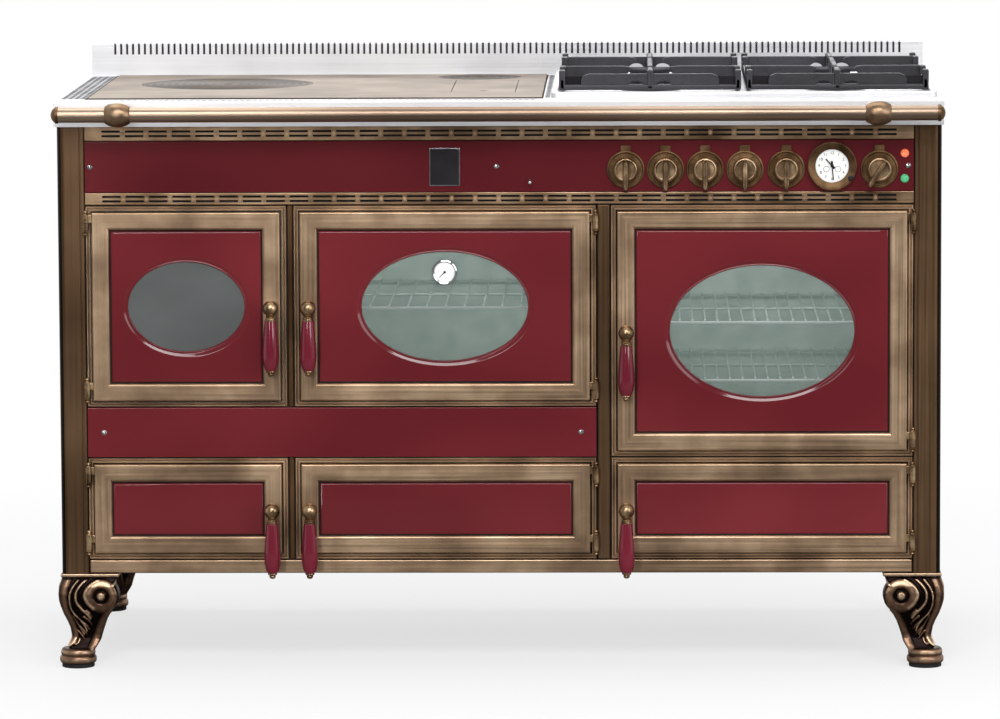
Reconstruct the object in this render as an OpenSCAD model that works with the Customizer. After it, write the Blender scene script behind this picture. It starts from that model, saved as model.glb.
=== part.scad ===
// Range cooker in three columns: a wood firebox with its oven on the left, an electric oven on the
// right, a cast iron hotplate and a four-burner gas hob on top, standing on four cast scroll feet.
// X runs to the right, Y to the back, Z up. The origin is under the middle of the whole object.

/* [Front columns] */
// Width of each front corner post
post_w = 43.5; // [30:0.5:60]
// Width of the left column, with the firebox
left_col_w = 320; // [280:1:380]
// Width of the thin stile between the left and middle columns
thin_stile_w = 10; // [6:1:16]
// Width of the middle column, with the wood oven
middle_col_w = 481; // [420:1:560]
// Width of the broad stile between the middle and right columns
broad_stile_w = 22; // [18:1:40]
// Width of the right column, with the electric oven
right_col_w = 480; // [420:1:560]

/* [Front rows] */
// Height of the feet
foot_h = 153; // [140:1:200]
// Height of the sill under the lower doors
sill_h = 22.5; // [16:0.5:30]
// Height of the row of lower doors
lower_row_h = 164; // [140:1:200]
// Height of the enamel strip between the door rows
strip_h = 80.5; // [60:0.5:120]
// Height of the row of upper doors
upper_row_h = 322; // [300:0.5:380]
// Height of the vent trim below the control panel
lower_trim_h = 20; // [18:1:30]
// Height of the control panel
panel_h = 82.5; // [80:0.5:110]
// Height of the vent trim above the control panel
upper_trim_h = 24; // [18:1:34]
// Height of the worktop's front edge
worktop_h = 40; // [32:1:50]

/* [Worktop] */
// Worktop from front to back
worktop_d = 650; // [642:1:720]
// How far the worktop reaches past each side of the body
worktop_overhang = 2; // [0:1:10]
// Thickness of the worktop's sheet
worktop_t = 2; // [1.5:0.5:3]
// Height of the backguard above the worktop
backguard_h = 55; // [40:1:120]
// Depth of the backguard's folded top
backguard_fold = 16; // [10:1:24]
// Pitch of the backguard's slots
slot_pitch = 10; // [8:1:16]
// How far the backguard's slots reach down its face
slot_drop = 19; // [10:1:30]

/* [Sheet and depth] */
// Setback of the posts and panels behind the worktop's front edge
front_setback = 20; // [16:1:30]
// Depth of the folded front panels
fold_d = 10; // [8:1:14]
// Thickness of the outer sheet metal
sheet_t = 2; // [1.5:0.5:3]
// Thickness of the frame's front bars
bar_t = 5; // [4:1:8]
// Thickness of the oven walls
oven_wall = 4; // [3:1:8]
// Thickness of the firebox lining
lining_t = 28; // [20:1:34]
// Depth of the frame's corner posts
post_d = 42; // [30:1:60]
// Radius of the posts' outer front edge
post_r = 12; // [4:1:16]
// Clearance where two pieces meet without touching
seat_gap = 0.3; // [0.2:0.05:0.4]

/* [Doors] */
// Seam round each door's surround
seam = 1; // [0.5:0.25:1.5]
// Width of the surround's bars
surround_w = 8; // [6:0.5:10]
// Gap between a door and its surround
door_gap = 1.5; // [1:0.25:2.5]
// How far a door laps over the frame behind it
door_lap = 5; // [4:0.5:7]
// Width of the door frames' members
door_frame_w = 28.5; // [24:0.5:34]
// Thickness of the doors
door_t = 17.5; // [16:0.5:19]
// How far the enamel panel lies behind the frame's face
panel_recess = 3; // [2:0.5:4]
// Thickness of the enamel panels
panel_t = 4; // [3:0.5:5]
// How far the door frame's rear flange laps behind the panel
flange_lap = 6; // [4:0.5:8]
// Thickness of the door glasses
glass_t = 4; // [3:0.5:5]
// Width of the firebox window
fire_window_w = 185; // [120:1:200]
// Height of the firebox window
fire_window_h = 142; // [100:1:180]
// Width of the wood oven window
wood_window_w = 264; // [180:1:300]
// Height of the wood oven window
wood_window_h = 173; // [120:1:200]
// Width of the electric oven window
electric_window_w = 292; // [200:1:320]
// Height of the electric oven window
electric_window_h = 208; // [140:1:250]
// Width of the dish round each window
dish_w = 9; // [6:0.5:12]
// Depth of the dish in the panel
dish_h = 2.5; // [1:0.25:2.75]

/* [Hinges and handles] */
// Radius of the hinge barrels
barrel_r = 5; // [4.5:0.25:5.5]
// Radius of the hinge pins
pin_r = 3; // [2:0.25:3.25]
// Running clearance round every pin and shaft
fit_gap = 0.05; // [0.02:0.01:0.09]
// Length of each hinge knuckle
knuckle_h = 13; // [10:0.5:18]
// Distance from the hinge axis to the door's edge
hinge_offset = 9; // [8:0.5:10]
// Distance from the door's top or bottom to its hinges
hinge_inset = 4; // [3:1:30]
// Radius of the handle's spindle
spindle_r = 4; // [3:0.5:5]
// Distance of the handle's axis in front of the door
handle_reach = 26; // [22:1:32]
// Radius of the handle's brass ball
ball_r = 11.5; // [9:0.5:13]
// Length of the handle's enamelled grip
grip_len = 76; // [60:1:90]
// Largest radius of the grip
grip_r = 12; // [9:0.5:13]
// Length of the latch tongue
tongue_len = 8; // [6:0.5:8]

/* [Controls] */
// Pitch of the gas taps
tap_pitch = 62.7; // [60.5:0.1:66]
// Distance from the panel's right end to the signal lamps
lamp_from_end = 15.2; // [12:0.1:24]
// Radius of the knob bezels
bezel_r = 30; // [24:0.5:30]
// Radius of the knob discs
knob_r = 19.5; // [15:0.5:22]
// Width of the knob's grip bar
knob_bar_w = 9.5; // [7:0.5:12]
// Length of the grip bar above the knob's axis
knob_bar_up = 17; // [12:1:19]
// Length of the grip bar below the knob's axis
knob_bar_down = 33; // [22:1:34]
// Radius of the knob shafts
shaft_r = 3.5; // [3:0.25:5]
// Turn of the thermostat knob at rest
thermostat_turn = 33; // [0:1:60]
// Radius of the clock's bezel
clock_r = 38.5; // [34:0.5:38.5]
// Radius of the clock's dial
dial_r = 26.5; // [20:0.5:28]
// Radius of the signal lamps
lamp_r = 7; // [5:0.5:8]
// Reach of the toggle lever
toggle_len = 16; // [12:1:20]
// Distance from the panel's left end to the toggle lever
toggle_from_left = 706; // [640:1:745]
// Distance from the thermostat to the signal lamps
lamp_from_thermostat = 40; // [38:1:42]
// Height of the upper signal lamp over the knobs' axes
lamp_up = 25; // [20:1:30]
// Depth of the lower signal lamp under the knobs' axes
lamp_down = 15; // [10:1:20]
// Distance from the clock's centre to its set knob
set_knob_reach = 34; // [32:0.5:34.5]

/* [Hotplate] */
// Width of the cast iron hotplate
hotplate_w = 720; // [600:1:728]
// Hotplate from front to back
hotplate_d = 574; // [560:1:580]
// Thickness of the hotplate
hotplate_t = 12; // [10:1:16]
// Width of the perforated strip left of the hotplate
side_strip_w = 46; // [40:1:60]
// Depth of the worktop in front of the hotplate
front_strip_d = 50; // [45:1:58]
// Radius of the round lid
lid_r = 140; // [110:1:150]
// Distance from the hotplate's left edge to the round lid's centre
lid_from_left = 198; // [160:1:240]
// Distance from the hotplate's front edge to the round lid's centre
lid_from_front = 341; // [200:1:400]
// Radius of the small lid over the flue
flue_lid_r = 68; // [50:1:71]
// Distance from the hotplate's right edge to the flue lid's centre
flue_lid_from_right = 111; // [90:1:160]
// Distance from the hotplate's front edge to the flue lid's centre
flue_lid_from_front = 500; // [484:1:503]
// Width of the soot hatch
soot_w = 103; // [80:1:120]
// Soot hatch from front to back
soot_d = 288; // [200:1:292]
// Distance from the hotplate's right edge to the soot hatch's middle
soot_from_right = 96; // [70:1:140]
// Distance from the hotplate's front edge to the soot hatch
soot_from_front = 123; // [30:1:130]
// Width of the ledge that each lid rests on
ledge_w = 8; // [6:1:12]
// Gap round each lid
lid_gap = 0.8; // [0.5:0.1:1.5]

/* [Gas hob] */
// Width of the hob tray
hob_w = 612; // [598:1:614]
// Hob tray from front to back
hob_d = 560; // [540:1:566]
// Height of the hob tray over the worktop
hob_h = 9; // [6:0.5:14]
// Gap between the hotplate and the hob tray
hob_gap = 15; // [8:1:20]
// Width of each pan support
grid_w = 290; // [270:1:292]
// Pan support from front to back
grid_d = 455; // [430:1:480]
// Height of the pan supports
grid_h = 32; // [26:1:44]
// Width of the pan supports' bars
grid_bar_w = 10; // [7:0.5:13]
// Distance from the hob tray's front edge to the pan supports
grid_from_front = 42; // [30:1:60]
// Distance between the two pan supports' centres
grid_pitch = 298; // [294:1:304]
// Distance from the pan supports' front edge to the front burners
burner_from_front = 108; // [90:1:120]
// Distance from the front burners to the rear burners
burner_pitch = 244; // [220:1:260]
// Radius of the front burners
front_burner_r = 48; // [35:1:55]
// Radius of the rear burners
rear_burner_r = 36; // [28:1:50]

/* [Ovens] */
// Depth of the oven boxes
oven_d = 470; // [430:1:500]
// Depth of the firebox
firebox_d = 420; // [350:1:470]
// Width of the ash pan
ash_pan_w = 250; // [200:1:265]
// Depth of the ash pan
ash_pan_d = 340; // [300:1:460]
// Height of the ash pan
ash_pan_h = 90; // [60:1:110]
// Height of the grate over the firebox's floor
grate_h = 34; // [20:1:50]
// Pitch of the long wires on the wood oven's rack
wood_wire_pitch = 30; // [15:1:45]
// Pitch of the long wires on the electric oven's racks
electric_wire_pitch = 20; // [15:1:45]

/* [Towel rail] */
// Radius of the rail
rail_r = 12; // [9:0.5:14]
// Distance of the rail's axis in front of the worktop
rail_reach = 45; // [38:1:60]
// Radius of the rail's ball brackets
bracket_r = 19.5; // [16:0.5:22]
// Distance of each bracket from the end of the body
bracket_inset = 103; // [60:1:200]
// How far the domed end caps reach past the body
rail_past = 2; // [0:1:14]
// Length of the domed end caps
cap_len = 9; // [7:1:14]

/* [Services] */
// Outer radius of the flue collar
flue_r = 74.5; // [60:0.5:75]
// Wall of the flue collar
flue_wall = 4; // [3:0.5:6]
// Length of the flue collar behind the back panel
flue_len = 40; // [30:1:60]
// Radius of the gas inlet pipe
gas_r = 10.5; // [8:0.5:11]
// Width of the terminal cover on the back
terminal_w = 90; // [70:1:120]
// Height of the terminal cover
terminal_h = 70; // [50:1:100]
// Distance from the right column's end to the terminal cover
terminal_from_right = 70; // [40:1:200]
// Height of the terminal cover over the body's underside
terminal_rise = 348; // [200:1:400]
// Radius of the cable gland's hole
gland_r = 6; // [5:0.5:8]

/* [Hidden] */
$fn = 48;

BRONZE = "#8c6c46";
BRASS = "#b08a55";
ENAMEL = "#6e1625";
CRIMSON = "#96243a";
STEEL = "#cfcfca";
IRON = "#8d857a";
BLACK = "#34323a";
SHEET = "#5b5a58";
CHROME = "#c9ccd0";

// Widths and places across the front
inner_w = left_col_w + thin_stile_w + middle_col_w + broad_stile_w + right_col_w;
body_w = inner_w + 2 * post_w;
left_x0 = -inner_w / 2;
left_x1 = left_x0 + left_col_w;
middle_x0 = left_x1 + thin_stile_w;
middle_x1 = middle_x0 + middle_col_w;
right_x0 = middle_x1 + broad_stile_w;
right_x1 = right_x0 + right_col_w;

// Heights from the floor
base_z = foot_h;
lower_z0 = base_z + sill_h;
lower_z1 = lower_z0 + lower_row_h;
upper_z0 = lower_z1 + strip_h;
upper_z1 = upper_z0 + upper_row_h;
panel_z0 = upper_z1 + lower_trim_h;
panel_z1 = panel_z0 + panel_h;
top_z0 = panel_z1 + upper_trim_h;
top_z = top_z0 + worktop_h;

// Depths, counted back from the worktop's front edge, which lies at top_y
front_reach = rail_reach + bracket_r;
whole_d = front_reach + worktop_d + flue_len;
top_y = front_reach - whole_d / 2;
skin_y = top_y + front_setback;
bars_y = skin_y + fold_d;
cavity_y = bars_y + bar_t;
door_back_y = bars_y - seat_gap;
door_y = door_back_y - door_t;
hinge_y = skin_y - barrel_r - 1.5;
back_y = top_y + worktop_d;
casing_back_y = back_y - 2 * sheet_t;
frame_back_y = casing_back_y - seat_gap;

// Openings of the front frame
open_inset = seam + surround_w + door_gap + door_lap;
door_inset = seam + surround_w + door_gap;

// Worktop levels
plate_z = top_z + 2;
seat_z = plate_z - hotplate_t;
hotplate_x0 = -body_w / 2 - worktop_overhang + side_strip_w + 4;
hotplate_x1 = hotplate_x0 + hotplate_w;
hotplate_y0 = top_y + front_strip_d;
hob_x0 = hotplate_x1 + hob_gap;
hob_x1 = hob_x0 + hob_w;
hob_y0 = top_y + front_strip_d + 10;
hob_top = top_z + hob_h;
lid_x = hotplate_x0 + lid_from_left;
lid_y = hotplate_y0 + lid_from_front;
flue_lid_x = hotplate_x1 - flue_lid_from_right;
flue_lid_y = hotplate_y0 + flue_lid_from_front;
soot_x = hotplate_x1 - soot_from_right;
soot_y = hotplate_y0 + soot_from_front + soot_d / 2;
grid_x = hob_x0 + hob_w / 2;
grid_y0 = hob_y0 + grid_from_front;
front_burner_y = grid_y0 + burner_from_front;
rear_burner_y = front_burner_y + burner_pitch;

// Control panel places
control_z = panel_z0 + 0.43 * panel_h;
clock_z = control_z + 5;
lamp_x = right_x1 - lamp_from_end;
thermostat_x = lamp_x - lamp_from_thermostat;
clock_x = thermostat_x - clock_r - knob_bar_down - 3;
selector_x = clock_x - clock_r - knob_bar_down - 1;
tap_x = [for (i = [4:-1:1]) selector_x - 2.5 - i * tap_pitch];
bezel_x = concat(tap_x, [selector_x, thermostat_x]);
lamp_z = [control_z + lamp_up, control_z - lamp_down];
toggle_x = left_x0 + toggle_from_left;
toggle_z = control_z - 14;
bezel_t = 3;
bearing_len = 8;
shaft_len = 30;
knob_y = skin_y - bezel_t - seat_gap;

// Rows of doors: left, middle and right columns
lower_row = [lower_z0, lower_z1];
upper_row = [upper_z0, upper_z1];
tall_row = [lower_z1, upper_z1];
left_col = [left_x0, left_x1];
middle_col = [middle_x0, middle_x1];
right_col = [right_x0, right_x1];

// One entry per door: column, row, and whether it hangs on the left
FIREBOX = [left_col, upper_row, true];
WOOD = [middle_col, upper_row, false];
ELECTRIC = [right_col, tall_row, false];
ASH = [left_col, lower_row, true];
DRAWER = [middle_col, lower_row, false];
WARMING = [right_col, lower_row, false];
DOORS = [FIREBOX, WOOD, ELECTRIC, ASH, DRAWER, WARMING];

function door_x0(door) = door[0][0] + door_inset;
function door_x1(door) = door[0][1] - door_inset;
function door_z0(door) = door[1][0] + door_inset;
function door_z1(door) = door[1][1] - door_inset;
function door_w(door) = door_x1(door) - door_x0(door);
function door_h(door) = door_z1(door) - door_z0(door);
function hinge_side(door) = door[2] ? -1 : 1;
function hinge_x(door) = door[2] ? door_x0(door) - hinge_offset : door_x1(door) + hinge_offset;
function hinge_z(door) = [door_z0(door) + hinge_inset, door_z1(door) - hinge_inset - 2 * knuckle_h];
function handle_x(door) = door[2] ? door_x1(door) - door_frame_w / 2 : door_x0(door) + door_frame_w / 2;
function handle_z(door) = (door_z0(door) + door_z1(door)) / 2;

// A box between two corners, each axis given as [from, to]
module block(x, y, z)
    translate([x[0], y[0], z[0]])
        cube([x[1] - x[0], y[1] - y[0], z[1] - z[0]]);

// A cylinder along Y, from y0 to y1
module rod_y(x, z, y0, y1, r)
    translate([x, y0, z])
        rotate([-90, 0, 0])
            cylinder(r = r, h = y1 - y0);

// A cylinder along X, from x0 to x1
module rod_x(y, z, x0, x1, r)
    translate([x0, y, z])
        rotate([0, 90, 0])
            cylinder(r = r, h = x1 - x0);

// An upright ellipse plate in the XZ plane, from y0 to y1
module oval_y(x, z, y0, y1, w, h)
    translate([x, y1, z])
        rotate([90, 0, 0])
            linear_extrude(y1 - y0)
                polygon([for (a = [0:7.5:359]) [w / 2 * cos(a), h / 2 * sin(a)]]);

// A shape turned about Y from a profile of [radius, distance in front of y]
module turned_y(x, y, z, profile)
    translate([x, y, z])
        rotate([90, 0, 0])
            rotate_extrude()
                polygon(profile);

// ---- Feet ----------------------------------------------------------------

foot_plate = 95;
foot_plate_t = 6;
foot_past = 2;
foot_base_r = 29.5;
foot_base_in = 22.5;
wing_t = 34;

// Outer edge of the foot as [distance inside the body's corner, height]
OUTER_EDGE = [
    [0, foot_h - 5], [-1, foot_h - 10], [-5, foot_h - 21], [-6, foot_h - 33], [-5, foot_h - 44],
    [-2, foot_h - 55], [2, foot_h - 67], [7, foot_h - 78], [11, 64], [13, 52], [13, 46], [10.5, 41],
    [7, 35], [5, 28]
];
// Inner edge, from the base up to the neck under the plate
INNER_EDGE = [
    [50, 28], [58, 41], [61, 52], [65, 64], [69, foot_h - 78], [75, foot_h - 67], [80, foot_h - 61],
    [85, foot_h - 30], [84, foot_h - 12], [88, foot_h - 5]
];
VOLUTE = [62, 37];
volute_r = 28.5;
volute_ball_r = 7;

// The wing's outline in the XZ plane, the body's corner at 0 and X towards the body's middle
module foot_outline() {
    polygon(concat(OUTER_EDGE, INNER_EDGE));
    translate([VOLUTE[0], foot_h - VOLUTE[1]])
        circle(r = volute_r);
}

// Everything inside the outer edge, far past the wing's other end
module foot_inside()
    polygon(concat(OUTER_EDGE, [[foot_plate + 20, 28], [foot_plate + 20, foot_h - 5]]));

// An outline of the XZ plane spread along Y
module spread_y(y0, y1)
    translate([0, y1, 0])
        rotate([90, 0, 0])
            linear_extrude(y1 - y0)
                children();

// One scroll wing along the front, cut to the bulge of the side
module foot_wing()
    intersection() {
        difference() {
            spread_y(-8, wing_t)
                foot_outline();
            volute_groove();
        }
        mirror([1, -1, 0])
            spread_y(-8, foot_plate)
                foot_inside();
    }

// The ring cut round the ball in the middle of the volute
module volute_groove()
    translate([VOLUTE[0], 0, foot_h - VOLUTE[1]])
        rotate([90, 0, 0])
            difference() {
                cylinder(r = volute_ball_r + 5.5, h = 9);
                translate([0, 0, -1])
                    cylinder(r = volute_ball_r, h = 11);
            }

// One foot in the corner of the body: plate, two scroll wings, moulded base and pad
module foot(side, end) {
    corner_y = end < 0 ? skin_y : casing_back_y + sheet_t;
    translate([side * body_w / 2, corner_y, 0])
        mirror([side > 0 ? 1 : 0, 0, 0])
            mirror([0, end > 0 ? 1 : 0, 0]) {
                plate = [-foot_past, foot_plate - foot_past];
                block(plate, plate, [foot_h - foot_plate_t, foot_h]);
                foot_wing();
                mirror([1, -1, 0])
                    foot_wing();
                translate([foot_base_in, foot_base_in, 0]) {
                    cylinder(r = foot_base_r - 3.5, h = 8);
                    translate([0, 0, 7])
                        cylinder(r = foot_base_r, h = 11);
                    translate([0, 0, 17])
                        cylinder(r = foot_base_r - 2, h = 14);
                }
            }
}

module cast_feet()
    color(BRONZE)
        for (side = [-1, 1])
            for (end = [-1, 1])
                foot(side, end);

// ---- Frame and casing ----------------------------------------------------

// The bars that stand behind the front, one group for each column's rows
module column_bars(x, rows) {
    for (row = rows)
        block([x[0] + open_inset + seat_gap, x[1] - open_inset - seat_gap], [bars_y, cavity_y], row);
}

// Upright front bars, with base, dividers, shelves and top frame behind them
module chassis()
    color(SHEET) {
        ends = [base_z + seat_gap, top_z0 - seat_gap];
        casing_x = body_w / 2 - sheet_t - seat_gap;
        block([left_x0 - post_w / 2, left_x0 + open_inset], [bars_y, cavity_y], ends);
        block([left_x1 - open_inset, middle_x0 + open_inset], [bars_y, cavity_y], [ends[0], panel_z0 + 4]);
        block([middle_x1 - open_inset, right_x0 + open_inset], [bars_y, cavity_y], [ends[0], panel_z0 + 4]);
        block([right_x1 - open_inset, right_x1 + post_w / 2], [bars_y, cavity_y], ends);
        sill = [ends[0], lower_z0 + open_inset];
        head = [upper_z1 - open_inset, panel_z0 + 4];
        column_bars(left_col, [sill, [lower_z1 - open_inset, upper_z0 + open_inset], head]);
        column_bars(middle_col, [sill, [lower_z1 - open_inset, upper_z0 + open_inset], head]);
        column_bars(right_col, [sill, [lower_z1 - open_inset, lower_z1 + open_inset], head]);
        block([left_x0 + open_inset + seat_gap, right_x1 - open_inset - seat_gap],
              [bars_y, cavity_y], [panel_z1 - 4, ends[1]]);
        base_plate();
        divider(left_x1 + thin_stile_w / 2);
        divider(middle_x1 + broad_stile_w / 2);
        shelves();
        top_frame(casing_x);
    }

base_t = 4;
divider_t = 3;
shelf_t = 3;
top_bar = 26;
behind_y = cavity_y + seat_gap;
divider_top = seat_z - top_bar - seat_gap;

module base_plate()
    block([-body_w / 2 + sheet_t + seat_gap, body_w / 2 - sheet_t - seat_gap],
          [behind_y, frame_back_y], [base_z, base_z + base_t]);

module divider(x)
    block([x - divider_t / 2, x + divider_t / 2], [behind_y, frame_back_y],
          [base_z + base_t + seat_gap, divider_top]);

// Sheets that the firebox and the ovens stand on
shelf_z = lower_z1 + open_inset;
left_bay = [-body_w / 2 + sheet_t + 2 * seat_gap, left_x1 + thin_stile_w / 2 - divider_t / 2 - seat_gap];
middle_bay = [left_x1 + thin_stile_w / 2 + divider_t / 2 + seat_gap,
              middle_x1 + broad_stile_w / 2 - divider_t / 2 - seat_gap];
right_bay = [middle_x1 + broad_stile_w / 2 + divider_t / 2 + seat_gap,
             body_w / 2 - sheet_t - 2 * seat_gap];
chute_in = 120;
chute_len = 200;
chute_y = [behind_y + chute_in, behind_y + chute_in + chute_len];

module shelves() {
    fire_shelf = [upper_z0 - shelf_t, upper_z0];
    block(left_bay, [behind_y, chute_y[0]], fire_shelf);
    block(left_bay, [chute_y[1], frame_back_y], fire_shelf);
    block(middle_bay, [behind_y, frame_back_y], fire_shelf);
    block(right_bay, [behind_y, frame_back_y], [lower_z1, lower_z1 + shelf_t]);
}

// Rails under the worktop: front, back, both ends, and one between hotplate and hob
module top_frame(casing_x) {
    rail_z = [seat_z - top_bar, seat_z];
    cross_x = (hotplate_x1 + hob_x0) / 2;
    front_y = [behind_y, hotplate_y0 + 10];
    rear_y = [hotplate_y0 + hotplate_d - 10, frame_back_y];
    side_y = [front_y[1] + seat_gap, rear_y[0] - seat_gap];
    block([-casing_x, casing_x], front_y, rail_z);
    block([-casing_x, casing_x], rear_y, rail_z);
    block([-casing_x, hotplate_x0 + 12], side_y, rail_z);
    block([cross_x - 18, cross_x + 18], side_y, rail_z);
    block([hob_x1 - 16, casing_x], side_y, rail_z);
}

// Side panels and back panel, with the covers on the back
module casing_panels()
    color(ENAMEL) {
        for (side = [-1, 1])
            block(side < 0 ? [-body_w / 2, -body_w / 2 + sheet_t] : [body_w / 2 - sheet_t, body_w / 2],
                  [skin_y + post_d + seat_gap, casing_back_y - seat_gap], [base_z, top_z0]);
        difference() {
            block([-body_w / 2, body_w / 2], [casing_back_y, casing_back_y + sheet_t], [base_z, top_z0]);
            rod_y(flue_lid_x, flue_z, casing_back_y - 1, back_y, flue_r + 3);
            rod_y(gas_x, gas_z, casing_back_y - 1, back_y, gas_r + 2);
        }
        terminal_box();
    }

gland_len = 16;

// Cover of the electric terminals, with its cable gland
module terminal_box() {
    box_x = right_x1 - terminal_from_right - terminal_w;
    box_y = casing_back_y + sheet_t + seat_gap;
    box_z = base_z + terminal_rise;
    box_d = 32;
    block([box_x, box_x + terminal_w], [box_y, box_y + box_d], [box_z, box_z + terminal_h]);
    translate([box_x + terminal_w / 2, box_y + box_d / 2, box_z - gland_len])
        difference() {
            cylinder(r = gland_r + 5, h = gland_len);
            translate([0, 0, -1])
                cylinder(r = gland_r, h = gland_len + 2);
        }
}

module corner_posts()
    color(BRONZE)
        for (side = [-1, 1])
            difference() {
                block(side < 0 ? [-body_w / 2, left_x0] : [right_x1, body_w / 2],
                      [skin_y, skin_y + post_d], [base_z, top_z0]);
                translate([side * (body_w / 2 - post_r), skin_y + post_r, base_z - 1])
                    post_edge_cut(side);
                behind_post(side);
            }

// What a post's rounded edge takes off its square corner
module post_edge_cut(side)
    difference() {
        translate([side > 0 ? 0 : -post_r - 1, -post_r - 1, 0])
            cube([post_r + 1, post_r + 1, top_z0 - base_z + 2]);
        cylinder(r = post_r, h = top_z0 - base_z + 2);
    }

// The hollow behind the post, where the frame's upright bar goes in
module behind_post(side) {
    hollow = side < 0 ? [-body_w / 2 + sheet_t, left_x0 + 1] : [right_x1 - 1, body_w / 2 - sheet_t];
    block(hollow, [bars_y, skin_y + post_d + 1], [base_z - 1, top_z0 + 1]);
}

// ---- Fixed front pieces --------------------------------------------------

// A surround of four bars, mitred as plain butt joints
module surround(door) {
    x = [door[0][0] + seam, door[0][1] - seam];
    z = [door[1][0] + seam, door[1][1] - seam];
    y = [skin_y + 2, bars_y];
    block([x[0], x[0] + surround_w], y, z);
    block([x[1] - surround_w, x[1]], y, z);
    inner_x = [x[0] + surround_w + seat_gap, x[1] - surround_w - seat_gap];
    block(inner_x, y, [z[0], z[0] + surround_w]);
    block(inner_x, y, [z[1] - surround_w, z[1]]);
}

// Fixed knuckle, pin and finials of one hinge
module fixed_hinge(door, z) {
    finial = 7;
    x = hinge_x(door);
    lug = door[2] ? [door[0][0] + seam, x + barrel_r - 1] : [x - barrel_r + 1, door[0][1] - seam];
    translate([x, hinge_y, z])
        cylinder(r = barrel_r, h = knuckle_h);
    translate([x, hinge_y, z - finial])
        rotate_extrude()
            polygon([[0, 0], [2.5, 0.8], [3.5, 2.8], [2, 4.6], [barrel_r - 1, finial], [0, finial]]);
    translate([x, hinge_y, z + knuckle_h])
        cylinder(r = pin_r, h = knuckle_h + seat_gap * 2 + 1);
    translate([x, hinge_y, z + 2 * knuckle_h + 2 * seat_gap])
        rotate_extrude()
            polygon([[0, 0], [barrel_r - 1, 0], [2, 2.4], [3.5, 4.2], [2.5, 6.2], [0, finial]]);
    block(lug, [hinge_y, skin_y + 2], [z, z + knuckle_h]);
}

module door_surrounds()
    color(BRONZE) {
        for (door = DOORS) {
            surround(door);
            for (z = hinge_z(door))
                fixed_hinge(door, z);
        }
        for (row = [lower_row, upper_row])
            block([left_x1 + seam, middle_x0 - seam], [skin_y + 6, bars_y], row);
        block([middle_x1 + seam, right_x0 - seam], [skin_y + 2, bars_y], [lower_z0, upper_z1]);
        block([left_x0 + seam, right_x1 - seam], [skin_y + 3, bars_y], [base_z, lower_z0 - seam]);
    }

// A folded front panel: a face with flanges that reach back to the bars
module folded_panel(x, z)
    difference() {
        block(x, [skin_y, bars_y], z);
        block([x[0] - 1, x[1] + 1], [skin_y + sheet_t, bars_y + 1], [z[0] + sheet_t, z[1] - sheet_t]);
    }

vent_w = 29.5;
vent_h = 3.5;
vent_pitch = 37.2;

// One vent trim with its two rows of slots
module vent_trim(z) {
    middle = (z[0] + z[1]) / 2;
    count = floor((inner_w - 40) / vent_pitch);
    start = -(count - 1) * vent_pitch / 2;
    difference() {
        folded_panel([left_x0 + seam, right_x1 - seam], z);
        for (i = [0:count - 1])
            for (row = [-1, 1])
                block([start + i * vent_pitch - vent_w / 2, start + i * vent_pitch + vent_w / 2],
                      [skin_y - 1, skin_y + sheet_t + 1],
                      [middle + row * 3.6 - vent_h / 2, middle + row * 3.6 + vent_h / 2]);
    }
}

module vent_trims()
    color(BRONZE) {
        vent_trim([upper_z1 + seam, panel_z0]);
        vent_trim([panel_z1, top_z0 - seam]);
    }

module control_panel()
    color(ENAMEL)
        difference() {
            union() {
                folded_panel([left_x0 + seam, right_x1 - seam], [panel_z0 + seam / 2, panel_z1 - seam / 2]);
                for (side = [-1, 1])
                    toggle_cheek(toggle_x + side * 5);
            }
            for (x = bezel_x)
                rod_y(x, control_z, skin_y - 1, skin_y + sheet_t + 1, shaft_r + 3);
            rod_y(clock_x, clock_z, skin_y - 1, skin_y + sheet_t + 1, dial_r + 1);
            for (z = lamp_z)
                rod_y(lamp_x, z, skin_y - 1, skin_y + sheet_t + 1, lamp_r - 2);
            block([toggle_x - 3, toggle_x + 3], [skin_y - 1, skin_y + sheet_t + 1],
                  [toggle_z - 9, toggle_z + 9]);
            rod_x(toggle_y, toggle_z, toggle_x - 9, toggle_x + 9, toggle_pin_r + fit_gap);
        }

// One of the two cheeks behind the panel that hold the toggle's pin
module toggle_cheek(x)
    block([x - 1.5, x + 1.5], [skin_y + sheet_t / 2, toggle_y + 3], [toggle_z - 4, toggle_z + 4]);

module middle_panel()
    color(ENAMEL)
        folded_panel([left_x0 + seam, middle_x1 - seam], [lower_z1 + seam, upper_z0 - seam]);

// A domed screw on the front skin
module screw(x, z)
    turned_y(x, skin_y, z, [[0, 0], [4.5, 0], [4.2, 1.6], [2.8, 3], [0, 3.6]]);

module panel_screws()
    color(CHROME) {
        for (x = [left_x0 + 9, -3, right_x1 - 10])
            screw(x, panel_z0 + panel_h / 2);
        for (x = [left_x0 + 27, middle_x1 - 25])
            screw(x, (lower_z1 + upper_z0) / 2);
    }

module indicator_lamps()
    color("orange")
        for (z = lamp_z) {
            turned_y(lamp_x, skin_y, z, [[0, 0], [lamp_r, 0], [lamp_r, 2], [lamp_r - 1.5, 5], [0, 6.5]]);
            rod_y(lamp_x, z, skin_y, bars_y - seat_gap, lamp_r - 2.2);
        }

// ---- Knobs and clock -----------------------------------------------------

// A bezel ring with its top tab and the bearing for the shaft
module bezel(x) {
    difference() {
        union() {
            rod_y(x, control_z, skin_y - bezel_t, skin_y, bezel_r);
            block([x - 8, x + 8], [skin_y - bezel_t, skin_y],
                  [control_z + bezel_r - 3, control_z + bezel_r + 8]);
            rod_y(x, control_z, skin_y - 1, skin_y + bearing_len, shaft_r + 2.8);
        }
        rod_y(x, control_z, skin_y - bezel_t - 1, skin_y + bearing_len + 1, shaft_r + fit_gap);
    }
}

module knob_bezels()
    color(BRONZE)
        for (x = bezel_x)
            bezel(x);

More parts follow.
